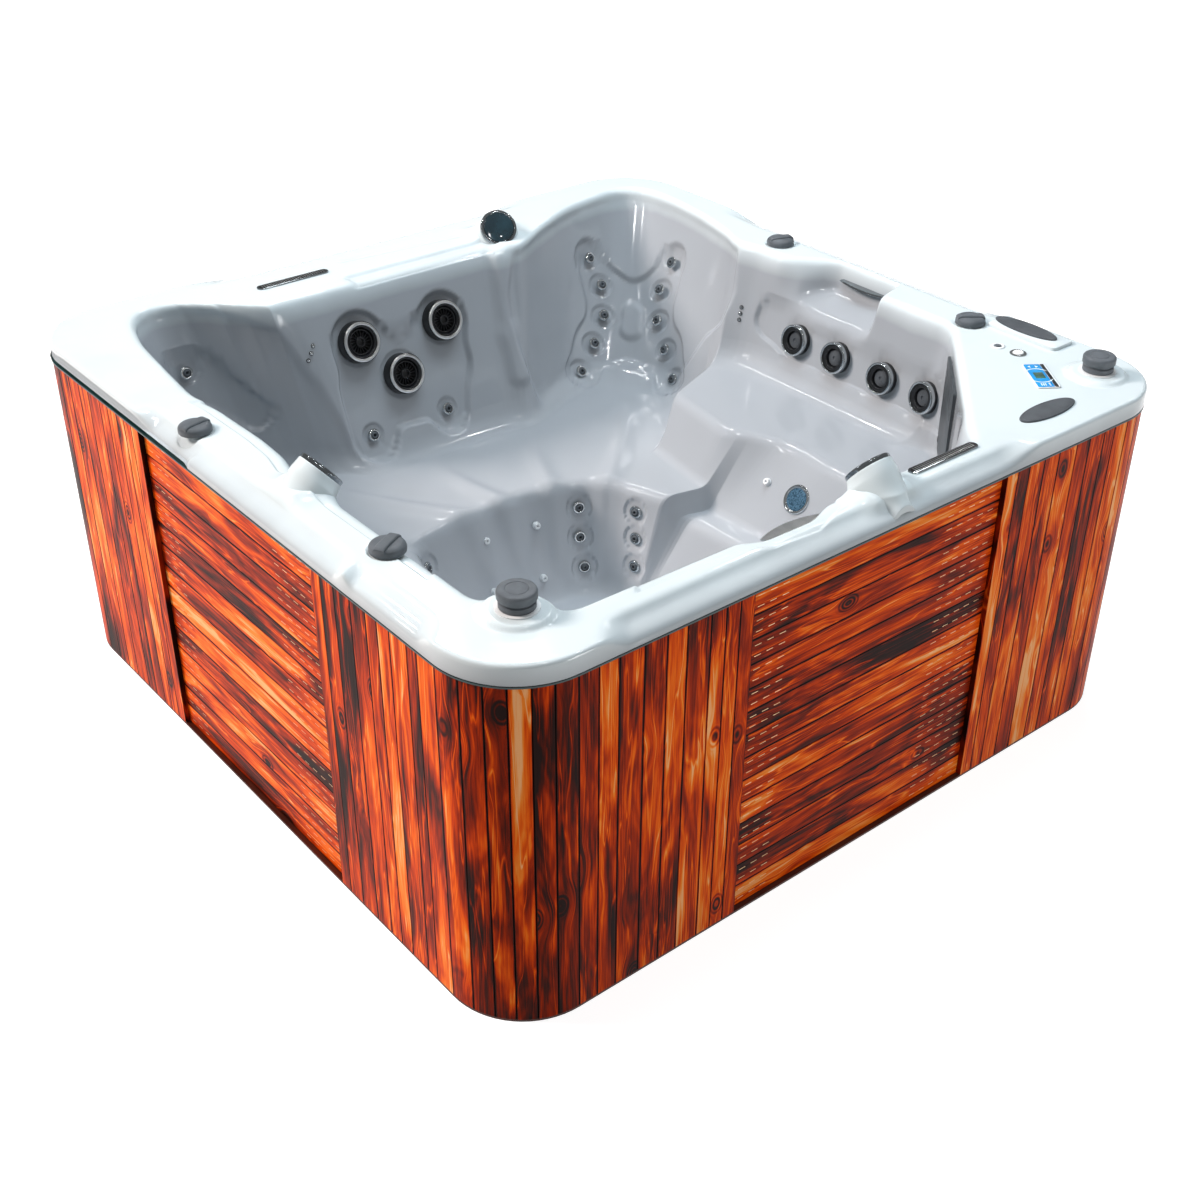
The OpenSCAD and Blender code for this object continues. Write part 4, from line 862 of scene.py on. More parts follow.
# Each side in quarter turns: its name, its body and the node that it stands for
SIDES = [("service", "service_panel", "service_panel")]
SIDES += [(side_name, "tub", "side_panels") for side_name in ("right", "far", "left")]
pine_fence = fence_tree("fence_pine", sawn_pine)
pitch = ((CAB_TOP - CAB_LOW) / MM - 4) / ROWS
first_row = PAN_T + 0.5 + pitch / 2
board_mid = HALF - INSET - PANEL_STEP - BOARD_T / 2
batten_back, batten_front = HALF - RAIL_IN + 0.5, board_mid - BOARD_T / 2


def side_path(offset, k):
    ends = [Vector((x, -offset, 0)) for x in (-PANEL_HALF, PANEL_HALF)]
    spin = Matrix.Rotation(k * math.pi / 2, 4, "Z")
    return path_curve("side_path", [tuple(spin @ v * MM) for v in ends])


for k, (side_name, body, node) in enumerate(SIDES):
    route = side_path(board_mid, k)
    places = [(PANEL_HALF * MM, 0, (first_row + i * pitch - BOARD_GAP / 2) * MM) for i in range(ROWS)]
    board_long = (2 * PANEL_HALF - 2) * MM
    spots = points_mesh("panel_points", places, wide=[board_long] * ROWS, tone=rng.random(ROWS))
    grow(f"panel_boards_{side_name}", spots, cedar_fence, body, "panel_timber", node,
         Path=route, Tall=(pitch - BOARD_GAP) * MM, Thick=BOARD_T * MM, Level=True)
    bpy.data.objects.remove(route)
    route = side_path((batten_back + batten_front) / 2, k)
    tall = float(CAB_TOP - CAB_LOW - 12 * MM)
    places = [(x * MM, 0, (PAN_T + 4) * MM + tall / 2) for x in (BATTEN_IN, 2 * PANEL_HALF - BATTEN_IN)]
    spots = points_mesh("batten_points", places, wide=[BATTEN_W * MM] * 2, tone=[0.2, 0.7])
    grow(f"panel_battens_{side_name}", spots, pine_fence, body, "framing", node,
         Path=route, Tall=tall, Thick=(batten_front - batten_back - 0.2) * MM)
    bpy.data.objects.remove(route)
print("level boards:", len(SIDES) * ROWS)

# %% [markdown]
# ## Turned shapes and their places
# Most fittings are round, so they come from a lathe: a profile of radius and height, with
# its corners rounded, spun round an axis. A fitting on a wall stands on the wall's own
# normal. What is one piece here is one moulding on the real tub.
# %% Helpers for turned shapes
def rounded(points, radius, n):
    path = [np.array(p, float) for p in points]
    result = [path[0]]
    for before, at, after in zip(path, path[1:], path[2:]):
        u, v = before - at, after - at
        r = min(radius, 0.45 * np.linalg.norm(u), 0.45 * np.linalg.norm(v))
        p, q = at + u / np.linalg.norm(u) * r, at + v / np.linalg.norm(v) * r
        for k in range(n + 1):
            t = k / n
            result.append(p * (1 - t) ** 2 + at * 2 * t * (1 - t) + q * t * t)
    result.append(path[-1])
    return result


# Spin a profile of (radius, height), listed from the outside inwards over the top
def spun(profile, segs=64):
    turns = np.arange(segs) * 2 * math.pi / segs
    grid = np.array([[(r * math.cos(t), r * math.sin(t), z) for r, z in profile] for t in turns])
    cols = len(profile)
    faces = grid_faces(segs, cols).tolist()
    if profile[-1][0] < 0.01:
        faces = [f for f in faces if f[2] % cols != cols - 1]
        pole = segs * cols
        points = np.vstack([grid.reshape(-1, 3), [[0, 0, profile[-1][1]]]])
        for i in range(segs):
            faces.append([i * cols + cols - 2, ((i + 1) % segs) * cols + cols - 2, pole])
        return points, faces
    return grid.reshape(-1, 3), faces


# The same with the profile's corners rounded in n steps
def lathe(profile, radius, n, segs):
    return spun(rounded(profile, radius, n), segs)


def box_shape(low, high):
    (x0, y0, z0), (x1, y1, z1) = low, high
    points = [(x, y, z) for x in (x0, x1) for y in (y0, y1) for z in (z0, z1)]
    faces = [[0, 1, 3, 2], [4, 6, 7, 5], [0, 4, 5, 1], [2, 3, 7, 6], [0, 2, 6, 4], [1, 5, 7, 3]]
    return np.array(points, float), faces


def slab(long, wide, low, high, corner=6.0, edge=1.0, n=6):
    ring = []
    for sx, sy, start in ((1, 1, 0), (-1, 1, 90), (-1, -1, 180), (1, -1, 270)):
        for k in range(n + 1):
            t = math.radians(start + 90 * k / n)
            ring.append((sx * (long / 2 - corner), sy * (wide / 2 - corner), math.cos(t), math.sin(t)))
    levels = [(0, low), (0, high - edge), (edge * 0.3, high - edge * 0.3), (edge, high)]
    points = [(x + (corner - inset) * c, y + (corner - inset) * s, z)
              for x, y, c, s in ring for inset, z in levels]
    m, cols = len(ring), len(levels)
    faces = grid_faces(m, cols).tolist() + [[i * cols + cols - 1 for i in range(m)]]
    return np.array(points), faces


def merged(*shapes):
    points, faces, start = [], [], 0
    for p, f in shapes:
        points.append(np.asarray(p, float))
        faces += [[i + start for i in face] for face in f]
        start += len(p)
    return np.vstack(points), faces


def frame_at(place, normal):
    z = Vector(normal).normalized()
    tilt, spin = math.acos(max(-1, min(1, z.z))), math.atan2(z.y, z.x)
    return Matrix.Translation(place) @ Matrix.Rotation(spin, 4, "Z") @ Matrix.Rotation(tilt, 4, "Y")


def on_wall(kind, place, deep=0):
    normal = facing(kind, *place)
    return frame_at(spot(kind, *place) - normal * deep, normal)


# A place for a piece that stands upright, turned about its own vertical
def upright_at(x, y, z, degrees=0):
    return Matrix.Translation((x, y, z)) @ Matrix.Rotation(math.radians(degrees), 4, "Z")


def moved(shape, matrix):
    points, faces = shape
    m = np.array(matrix)
    return points @ m[:3, :3].T + m[:3, 3], faces


def fitting(name, shape, matrix, finish, body, slot, node=None, crease=35):
    return piece(name, *moved(shape, matrix), finish, body, slot, node, crease)

# %% [markdown]
# ## Scattering the small fittings
# Small jets, nozzles and studs repeat on many walls. A node tree takes points that carry
# the wall's normal (facing), stands a copy of one moulding on each, makes it real and gives
# it its finish. One run of the tree is one piece.
# %% The scatter tree
def scatter_tree(name, finish):
    tree, given = new_tree(name, ("Moulding", "Object"))
    normal = add(tree, STORED, Name="facing", data_type="FLOAT_VECTOR")
    turn = add(tree, "FunctionNodeAlignRotationToVector", Vector=normal, axis="Z")
    source = add(tree, "GeometryNodeObjectInfo", given["Moulding"]).outputs["Geometry"]
    placed = add(tree, ON_POINTS, Points=given["Geometry"], Instance=source, Rotation=turn)
    solid = add(tree, REALIZE, Geometry=placed)
    done = add(tree, "GeometryNodeSetMaterial", Geometry=solid, Material=finish)
    add(tree, "NodeGroupOutput", done)
    return tree


def scatter(name, shape, matrices, finish, slot, node):
    mesh = bpy.data.meshes.new(name + "_moulding")
    mesh.from_pydata((np.asarray(shape[0]) * MM).tolist(), [], shape[1])
    moulding = new_object(name + "_moulding", mesh)
    spots = points_mesh(name + "_points", [m.translation * MM for m in matrices],
                        facing=[list(m.col[2].xyz) for m in matrices])
    grow(name, spots, scatter_tree(name + "_tree", finish), "tub", slot, node, Moulding=moulding)
    bpy.data.objects.remove(moulding)

# %% [markdown]
# ## Staples
# The level boards are held to their battens by narrow-crown staples, in two rows to a board:
# five in each row at one end and three at the other. Their bright crowns lie flush in the
# lacquer and catch the light.
# %% Staples in the level boards
FROM_END, APART, ROW_AT = 30, 36, 0.22
crown = slab(19, 1.5, -0.5, 0.35, 0.6, 0.2, 2)
crowns = [(end * (PANEL_HALF - FROM_END - APART * j), row) for end, count in ((-1, 3), (1, 5))
          for row in (-ROW_AT, ROW_AT) for j in range(count)]
for k, (side_name, body, node) in enumerate(SIDES):
    spin, flat_on = Matrix.Rotation(k * math.pi / 2, 4, "Z"), Matrix.Rotation(math.pi / 2, 4, "X")
    shapes = []
    for i in range(ROWS):
        for x, row in crowns:
            place = (x, -board_mid - BOARD_T / 2, first_row + (i + row) * pitch)
            shapes.append(moved(crown, spin @ Matrix.Translation(place) @ flat_on))
    piece(f"panel_staples_{side_name}", *merged(*shapes), staple_wire, body, "silver_bezel", node)
print("staples to a panel:", len(shapes))

# %% [markdown]
# ## Small jets
# Each small jet sits in a dish pressed into the acrylic, deeper where the dish lies in a
# sunk outline. Its chromed flange carries a grey ball with a bore, a little below the rim.
# %% Small jets, nozzles and studs
jets = [on_wall(0, p, 10) for p in WALL_JETS] + [on_wall(2, p, 2) for p in CALF_JETS]
flange = lathe([(18.3, -4), (18.3, 0.4), (15.5, 3.0), (12.2, 3.0), (11, 0.5), (10.4, -6)], 0.8, 3, 48)
scatter("small_jet_flanges", flange, jets, chrome, "chromed_plastic", "small_jets")
ball = lathe([(10.6, -6), (10.2, 1.5), (7.2, 5.0), (5.0, 5.0), (4.2, 3.5), (4.2, -10), (0, -10)], 0.8, 3, 40)
scatter("small_jet_balls", ball, jets, knob_grey, "chromed_plastic", "small_jets")

NOZZLES, SENSOR = [(137, 358), (99, 347), (103.5, 192), (144, 212)], (-28, 503)
nozzle_at = [on_wall(2, p) for p in NOZZLES] + [on_wall(1, SENSOR)]
stud = lathe([(11.4, -4), (11.4, 1.5), (9.6, 2.5), (9.6, 9), (8, 10.6), (4, 10.6), (2.6, 9),
              (2.6, -4), (0, -4)], 0.8, 3, 36)
scatter("air_nozzle_studs", stud, nozzle_at, white_abs, "white_plastic", "air_nozzles")
LED_ROWS, LED_PITCH = [(119, 790, 0.8, 0), (70.5, 784, 0.5, -8), (18, 743, 0, 0)], 18
stud_at = [on_wall(0, (a - k * lean, z + k * LED_PITCH), deep)
           for a, z, lean, deep in LED_ROWS for k in (-1, 0, 1)]
collar = lathe([(6.4, -4), (6.4, 0.8), (5.8, 1.4), (4.6, 1.4), (4.2, -4)], 0.4, 2, 28)
scatter("led_stud_collars", collar, stud_at, black_abs, "chromed_plastic", "led_studs")
led = lathe([(4.8, -2), (4.8, 2.4), (4, 3.8), (3, 3.6), (0, 4.2)], 0.6, 3, 28)
scatter("led_stud_caps", led, stud_at, chrome, "chromed_plastic", "led_studs")

# %% [markdown]
# ## Large and medium jets
# The three large jets stand proud of the wall in dark cups, with a satin ring in front. The
# ring turns to set the flow, and inside it a finned rotor spins on a pin. The four medium
# jets have a slim chromed ring round a dark stepped face, and a ribbed dome that swirls the
# water.
# %% Large and medium jets
def fins(count, r0, r1, thick, z0, z1, lean=0.0):
    shapes = []
    for k in range(count):
        shape = box_shape((r0, -thick / 2, z0), (r1, thick / 2, z1))
        shape[0][:, 1] += lean * (shape[0][:, 0] - r0)
        shapes.append(moved(shape, Matrix.Rotation(k * 2 * math.pi / count, 4, "Z")))
    return merged(*shapes)


for k, place in enumerate(LARGE_JETS, 1):
    at, body = on_wall(0, place), f"large_jet_bezel_{k}"
    cup = rounded([(60, -15), (59, 15), (57, 17.2), (56, 17.2), (56, 14), (47.2, 14), (46.4, 17),
                   (43, 16), (39.8, 12), (38, 4), (38, -8)], 1.2, 3)
    fitting(f"large_jet_cup_{k}", spun(cup, 96), at, black_abs, body, "silver_bezel")
    ring = rounded([(56.6, 15), (56.6, 18.4), (54, 20.4), (50.4, 20.8), (48, 19.8), (47, 17.6),
                    (46.8, 12)], 0.9, 3)
    fitting(f"large_jet_ring_{k}", spun(ring, 96), at, satin_metal, body, "silver_bezel")
    spin_body = f"large_jet_rotor_{k}"
    wheel = merged(
        lathe([(37.2, -6), (37.2, 9), (35.6, 10), (33.4, 10), (32.6, 8), (32.6, -6)], 0.7, 2, 80),
        lathe([(15, -6), (15, 8.4), (13.8, 10), (10.6, 10), (9.6, 8), (9.4, 1), (0, 0.4)], 0.8, 3, 56),
        lathe([(33, -5), (33, -4), (0, -4)], 0.4, 2, 48),
        fins(18, 14.6, 33, 1.5, -5, 6.5, 0.22))
    fitting(f"large_jet_wheel_{k}", wheel, at, black_abs, spin_body, "rotor_plastic", crease=40)
for k, place in enumerate(MEDIUM_JETS, 1):
    at, body = on_wall(0, place, 5), f"medium_jet_bezel_{k}"
    ring = rounded([(46, 8), (46, 16.4), (44.6, 19.8), (41.6, 21), (39.4, 19.8), (38.6, 17),
                    (38.4, 12)], 1.0, 3)
    fitting(f"medium_jet_ring_{k}", spun(ring, 88), at, chrome, body, "silver_bezel")
    face = rounded([(45, -12), (45, 13), (39, 13), (38.2, 16.6), (35, 17.2), (33.6, 15.4),
                    (31.6, 16.6), (28, 16), (25.6, 13), (25, 4), (25, -8)], 0.8, 3)
    fitting(f"medium_jet_face_{k}", spun(face, 88), at, black_abs, body, "silver_bezel")
    spin_body = f"medium_jet_rotor_{k}"
    dome = lathe([(24, -6), (24, 5), (22.6, 7.2), (21.2, 6.2), (19.6, 8.4), (17.8, 7.4), (16, 9.2),
                  (14.2, 8.2), (12.2, 9.8), (10.4, 8.8), (8.2, 9.9), (5.2, 9.9), (4.4, 7), (0, 6.4)],
                 0.7, 2, 72)
    fitting(f"medium_jet_dome_{k}", dome, at, grey_abs, spin_body, "rotor_plastic", crease=40)
print("jets:", len(jets), "small,", len(MEDIUM_JETS), "medium,", len(LARGE_JETS), "large")

# %% [markdown]
# ## Lamps
# Each pod is a tube that opens towards the tub, with a thin chromed ring and a dark glossy
# cap over its lamp. Towards the skin the tube swells by the same rule that lifts the skin,
# so pod and rim read as one moulding. The footwell's lamp is flat in the seat's front.
# %% Pods and lamps
def skin_gap(points):
    x, y, z = points[..., 0], points[..., 1], points[..., 2]
    angle = np.degrees(np.arctan2(y, x))
    wall = wall_r(np.where(angle < -90, angle + 360, angle), np.minimum(z, RIM_Z)) - np.hypot(x, y)
    return np.maximum(z - RIM_Z, wall * 0.93)


def pod_shape(centre, heading, segs=96):
    at = np.array(frame_at(centre, pod_axis(heading)))
    head = rounded([(49.6, -16), (49.6, -9.2), (52, -8.6), (55, -9), (POD_R, -11), (POD_R, -14)], 1.6, 3)
    tail = np.linspace(-14, -150, 48)
    profile = np.array([tuple(p) for p in head] + list(zip(POD_R - 30 * rise(-tail, 25, 120), tail)))
    turns = (np.arange(segs) * 2 * math.pi / segs)[:, None]
    wide, deep = profile.T
    local = np.stack([wide * np.cos(turns), wide * np.sin(turns), deep + 0 * turns], -1)
    gap = np.clip(skin_gap(local @ at[:3, :3].T + at[:3, 3]), 0, POD_BLEND)
    grown = (POD_BLEND - gap) ** 2 / (4 * POD_BLEND) * np.clip((-local[..., 2] - 4) / 30, 0, 1)
    local[..., :2] *= (1 + grown / profile[:, 0])[..., None]
    points = (local @ at[:3, :3].T + at[:3, 3]).reshape(-1, 3)
    # The buried tail stops inside the lip
    points[:, :2] = np.clip(points[:, :2], 8 - HALF, HALF - 8)
    return points, grid_faces(segs, len(profile)).tolist()


lamp_ring = lathe([(54.6, -10), (55.4, -2), (54, 1.4), (51, 2.8), (47.6, 2.6), (45.4, 0.6),
                   (45.4, -4)], 0.9, 3, 96)
lamp_cap = lathe([(45.2, -2), (45.2, 1.6), (43.6, 3.0), (30, 4.6), (0, 5.6)], 2.0, 4, 80)
places = []
for k, (centre, heading) in enumerate(PODS, 1):
    piece(f"lamp_pod_{k}", *pod_shape(centre, heading), acrylic, "tub", "acrylic", "acrylic_shell", 60)
    places.append(frame_at(centre, pod_axis(heading)))
scatter("lamp_rings", lamp_ring, places, blade_chrome, "chromed_plastic", "lamp_bezels")
scatter("lamp_caps", lamp_cap, places, tint, "lens", "lamp_lenses")
floor_lamp = on_wall(1, (-38.5, 500))
ring = lathe([(42, -4), (42, 1.8), (39.6, 4.2), (36, 4), (32.6, 1.8), (32.2, -6)], 0.8, 3, 80)
fitting("footwell_lamp_ring", ring, floor_lamp, chrome, "tub", "chromed_plastic", "lamp_bezels")
lens = lathe([(32, -6), (32, 0.6), (29.6, 1.6), (0, 2.6)], 1.0, 3, 64)
fitting("footwell_lamp_lens", lens, floor_lamp, pale_tint, "tub", "lens", "lamp_lenses")

# %% [markdown]
# ## Knobs
# A diverter is a drum with a groove under its cap, on a pedestal of the shell. An air knob
# is low, with a straight grip across it. Both turn on a pin.
# %% Diverters and air knobs
drum = [(37, 0), (38, 1), (38, 12), (36.6, 13.4), (34.6, 14.6), (34.6, 18.4), (37.4, 19.4),
        (41, 20.4), (41, 35), (38.4, 39), (34, 40), (24, 40), (23.4, 39.2), (22.6, 39.2),
        (22, 40), (0, 40)]
for name, (x, y) in zip(("near", "right"), DIVERTERS):
    at = upright_at(x, y, RIM_Z + 13.3)
    fitting(f"diverter_cap_{name}", lathe(drum, 1.6, 4, 96), at, knob_grey, f"diverter_knob_{name}",
            "grey_plastic")


def grip_shape(long, half, high, n=24):
    points, faces = [], []
    for k in range(n + 1):
        x = -long + 2 * long * k / n
        side = math.sqrt(max(0.0, 1 - (x / (long + 2)) ** 6))
        rim = [(half, 0), (half, 0.62), (half * 0.9, 0.92), (half * 0.72, 1), (-half * 0.72, 1),
               (-half * 0.9, 0.92), (-half, 0.62), (-half, 0)]
        points += [(x, y, z * high * (0.55 + 0.45 * side)) for y, z in rim]
    m = len(rim)
    for k in range(n):
        faces += [[k * m + j, k * m + j + 1, (k + 1) * m + j + 1, (k + 1) * m + j] for j in range(m - 1)]
    faces += [list(range(m)), list(range(n * m, n * m + m))[::-1]]
    return np.array(points), faces


knob = lathe([(39.6, 0), (39.9, 1), (39.9, 10), (37.8, 14.4), (32, 18.4), (26, 19.8), (0, 20)], 3.0, 5, 96)
shape = merged(knob, grip_shape(36.5, 13.5, 24))
for k, ((x, y), turn_by) in enumerate(zip(AIR_KNOBS, (12, 28, -20, -38)), 1):
    at = upright_at(x, y, RIM_Z - 0.7, turn_by)
    fitting(f"air_knob_cap_{k}", shape, at, knob_grey, f"air_knob_{k}", "grey_plastic")
print("knobs:", len(DIVERTERS) + len(AIR_KNOBS))

# %% [markdown]
# ## The control deck
# Two oval speakers rise out of the deck, one of them from a raised plate. Beside them are
# two push buttons in round sockets and the control panel: a display, a blue overlay with
# plain arcs, arrows, dashes and dots for its keys, and a dark stripe.
# %% Speakers, buttons and panel
def oval_shape(long, wide, profile, segs=96):
    points, faces = spun([(1 - inset / 100, z) for inset, z in profile], segs)
    out_points = points.copy()
    out_points[:, 0] *= long / 2
    out_points[:, 1] *= wide / 2
    return out_points, faces


OVALS = {"right": (994, -627, 90, RIM_Z + 9.3), "front": (655, -960, 0, RIM_Z + 0.3)}
OVAL_LONG, OVAL_WIDE = 196, 64
lid = rounded([(0, 0), (0, 2.6), (3, 4), (10, 4), (11.5, 3.5), (13, 4), (60, 4.4), (100, 4.5)], 1.0, 2)
side = oval_shape(OVAL_LONG, OVAL_WIDE, [(6.2, -70), (6.2, 0)])
GRILLE_ROWS, GRILLE_HOLES, ROW_PITCH, ROW_TURN = 8, 26, 6.2, 0.12
hole = spun([(1.9, -0.2), (1.9, 0.5), (1.2, 0.7), (0, 0.7)], 10)
holes = []
for row in range(GRILLE_ROWS):
    for k in range(GRILLE_HOLES):
        t = k * 2 * math.pi / GRILLE_HOLES + row * ROW_TURN
        if abs(math.sin(t)) > 0.12:
            place = Matrix.Translation((91.9 * math.cos(t), 30.1 * math.sin(t), -12 - row * ROW_PITCH))
            aim = Matrix.Rotation(math.atan2(math.sin(t) / 30, math.cos(t) / 92), 4, "Z")
            holes.append(moved(hole, place @ aim @ Matrix.Rotation(math.pi / 2, 4, "Y")))
for name, (x, y, spin, z) in OVALS.items():
    at, body = upright_at(x, y, z, spin), f"speaker_{name}"
    fitting(f"speaker_lid_{name}", oval_shape(OVAL_LONG, OVAL_WIDE, lid), at, grey_abs, body, "grey_plastic")
    fitting(f"speaker_body_{name}", side, at, black_abs, body, "grey_plastic")
    fitting(f"speaker_grille_{name}", merged(*holes), at, grey_abs, body, "grey_plastic")
plate = slab(224, 84, -4, 9, 14, 3.5)
fitting("speaker_plate", plate, upright_at(990, -643, RIM_Z, 90), acrylic, "tub", "acrylic", "acrylic_shell")
BUTTONS = [(862, -642, 36, 18, "jets_button", knob_grey, white_abs),
           (868, -703, 44, 28, "light_button", white_abs, chrome)]
for x, y, socket_d, cap_d, body, finish, metal in BUTTONS:
    at, r, q = upright_at(x, y, RIM_Z), socket_d / 2, cap_d / 2
    bezel = lathe([(r, 0), (r, 1.6), (r - 2, 3), (q + 2.4, 3), (q + 0.5, 1.5), (q + 0.5, -12)], 0.9, 3, 64)
    fitting(f"{body}_socket", bezel, at, metal, "tub", "chromed_plastic", "button_sockets")
    cap = lathe([(q, -16), (q, 3.4), (q - 1.6, 4.6), (q * 0.5, 4.0), (0, 3.8)], 1.0, 3, 56)
    fitting(f"{body}_cap", cap, at, finish, body, "white_plastic")


def arrow(size, flip):
    tip = size if flip else -size
    points = [(-size, -tip / 2, 5.1), (size, -tip / 2, 5.1), (0, tip * 0.7, 5.1)]
    return np.array(points, float), [[0, 1, 2]] if flip else [[0, 2, 1]]


def swoosh(r0, r1, start, stop, n=20):
    turns = np.radians(np.linspace(start, stop, n + 1))
    section = [(r0, 4.9), (r0, 5.2), (r1, 5.2), (r1, 4.9)]
    points = [(r * math.cos(t), r * math.sin(t), z) for t in turns for r, z in section]
    return np.array(points), grid_faces(n + 1, 4, round_rows=False).tolist()


# Each sign on the overlay with its place on the panel
dot, dash = spun([(2.2, 4.8), (2.2, 5.15), (0, 5.15)], 20), slab(14, 2.4, 5.0, 5.3, 1, 0.1)
SIGNS = [(swoosh(30, 33, -58, 62), (8, 6, 0)), (swoosh(30, 33, 122, 242), (-8, 6, 0)),
         (arrow(6, True), (52, 16, 0.15)), (arrow(6, False), (52, -3, 0.15)),
         (dash, (-52, 5, 0)), (dash, (-52, 10, 0)), (dash, (-52, 15, 0)),
         (dot, (-58, -6, 0.15)), (dot, (-52, -6, 0.15)), (dot, (-46, -6, 0.15)),
         (slab(134, 2, 4.5, 5.1, 1, 0.1), (0, -27, 0))]
panel_at = upright_at(800, -829, RIM_Z - 1.5, 55)
signs = merged(*[moved(sign, upright_at(*place)) for sign, place in SIGNS])
PANEL = {"base": (slab(140, 60, 0, 4.6, 7), (0, 0, 0), pipe_pvc),
         "overlay_blue": (slab(134, 42, 4.5, 5.0, 4, 0.2), (0, 6, 0), overlay_blue),
         "display": (slab(34, 25, 4.9, 5.6, 3, 0.3), (0, 5, 0), display),
         "stripe": (slab(134, 9, 4.5, 5.1, 2, 0.2), (0, -20.5, 0), black_abs),
         "key_signs": (signs, (0, 0, 0), overlay_pale)}
for name, (shape, place, finish) in PANEL.items():
    shape = moved(shape, upright_at(*place))
    fitting(f"panel_{name}", shape, panel_at, finish, "tub", "panel_overlay", "control_panel")
print("signs on the panel:", len(SIGNS))

# %% [markdown]
# ## Water features
# Two chromed blades pour a curved sheet of water out of coves in the rim's edge. Two long
# strips on the rim pour a row of thin streams through slots between ribs.
# %% Blades and strips
def blade_shape(sweep=44, outer_r=240, deep=52, thick=6, n=48):
    inner_r = outer_r - deep
    section = rounded([(inner_r, 0), (inner_r, thick), (outer_r - 6, thick), (outer_r, thick - 2.6),
                       (outer_r, 2.6), (outer_r - 6, 0), (inner_r + 0.1, 0)], 1.4, 3)
    turns = np.radians(np.linspace(-sweep / 2, sweep / 2, n + 1))
    points = [(r * math.cos(t), r * math.sin(t), z) for t in turns for r, z in section]
    m = len(section)
    faces = grid_faces(n + 1, m, round_rows=False, round_cols=True)[:, ::-1].tolist()
    faces += [list(range(m)), list(range(n * m, n * m + m))[::-1]]
    return np.array(points), faces


LIPS = [(1182, -80, 180, blade_chrome), (-165, -1138, 90, satin_metal)]
for k, (x, y, spin, finish) in enumerate(LIPS, 1):
    at = upright_at(x, y, RIM_Z - 48, spin)
    fitting(f"waterfall_blade_{k}", blade_shape(), at, finish, "tub", "chromed_plastic", "waterfall_lips")
STRIPS = [(-338, 894), (268, -968)]
rib = slab(3, 15, 4.2, 5, 0.8, 0.3, 2)
ribs = merged(*[moved(rib, upright_at(-97.5 + 7.5 * i, 0, 0)) for i in range(27)])
STRIP = {"frame": (slab(226, 28, -2, 4.4, 13.6, 1.4), blade_chrome),
         "slot": (slab(216, 19, 4, 4.6, 9.2, 0.2), black_abs), "ribs": (ribs, satin_metal)}
for k, (x, y) in enumerate(STRIPS, 1):
    for name, (shape, finish) in STRIP.items():
        fitting(f"cascade_{name}_{k}", shape, upright_at(x, y, RIM_Z), finish, "tub", "chromed_plastic",
                "cascade_strips")
print("blades:", len(LIPS), "strips:", len(STRIPS))

# %% [markdown]
# ## Filter niche and floor suctions
# The niche's cover is an upright slab with level louvres. The cartridge behind it is
# pleated cloth between two end caps. The two suctions at the floor are domed grilles.
# %% Niche cover, filter and suctions
niche = Matrix.Translation((*NICHE_AT, 0)) @ Matrix.Rotation(NICHE_TURN, 4, "Z")
face_in, roll = Matrix.Rotation(-math.pi / 2, 4, "Y"), Matrix.Rotation(math.pi / 2, 4, "Z")
cover_at = niche @ Matrix.Translation((4.6, 0, 756)) @ face_in @ roll
louvre = slab(196, 6.5, 11, 12, 2.4, 0.8, 4)
louvres = merged(*[moved(louvre, upright_at(0, -96 + 16 * i, 0)) for i in range(4)])
for name, shape in (("board", slab(238, 264, 0, 11.2, 6, 1.2)), ("louvres", louvres)):
    fitting(f"niche_cover_{name}", shape, cover_at, cover_grey, "skimmer_cover", "grey_plastic")


def pleated(radius, deep, low_z, high_z, folds):
    points = []
    for i in range(folds * 2):
        t, r = i * math.pi / folds, radius - deep * (i % 2)
        points += [(r * math.cos(t), r * math.sin(t), z) for z in (low_z, high_z)]
    return np.array(points), grid_faces(folds * 2, 2).tolist()


core = niche @ Matrix.Translation((100, 0, 646.3))
fitting("filter_pleats", pleated(68, 11, 8, 186, 60), core, pleat_cloth, "filter_cartridge", "filter_cloth",
        crease=20)
caps = merged(lathe([(23, 14), (69.5, 14), (70, 12), (70, 2), (68, 0.2), (23, 0.2)][::-1], 1.5, 3, 64),
              lathe([(70, 182), (70, 192), (68, 194), (26, 194), (23, 192), (23, 182)], 1.5, 3, 64))
fitting("filter_end_caps", caps, core, overlay_blue, "filter_cartridge", "filter_cloth")
SUCTIONS = [(262, 190), (282, 190)]
grille = merged(lathe([(52, -4), (52, 6), (49, 11), (40, 12), (33, 9), (30, 9)], 1.5, 3, 72),
                lathe([(31, 9), (26, 11.4), (20, 11.4), (19, 9)], 1, 2, 48),
                lathe([(12, 8), (11, 11.8), (0, 12)], 1, 2, 40), fins(12, 10, 34, 3, 5, 11.2),
                spun([(34, 4), (0, 4)], 32))
scatter("suction_grilles", grille, [on_wall(2, p) for p in SUCTIONS], white_abs, "white_plastic",
        "suction_covers")
print("suctions:", len(SUCTIONS))

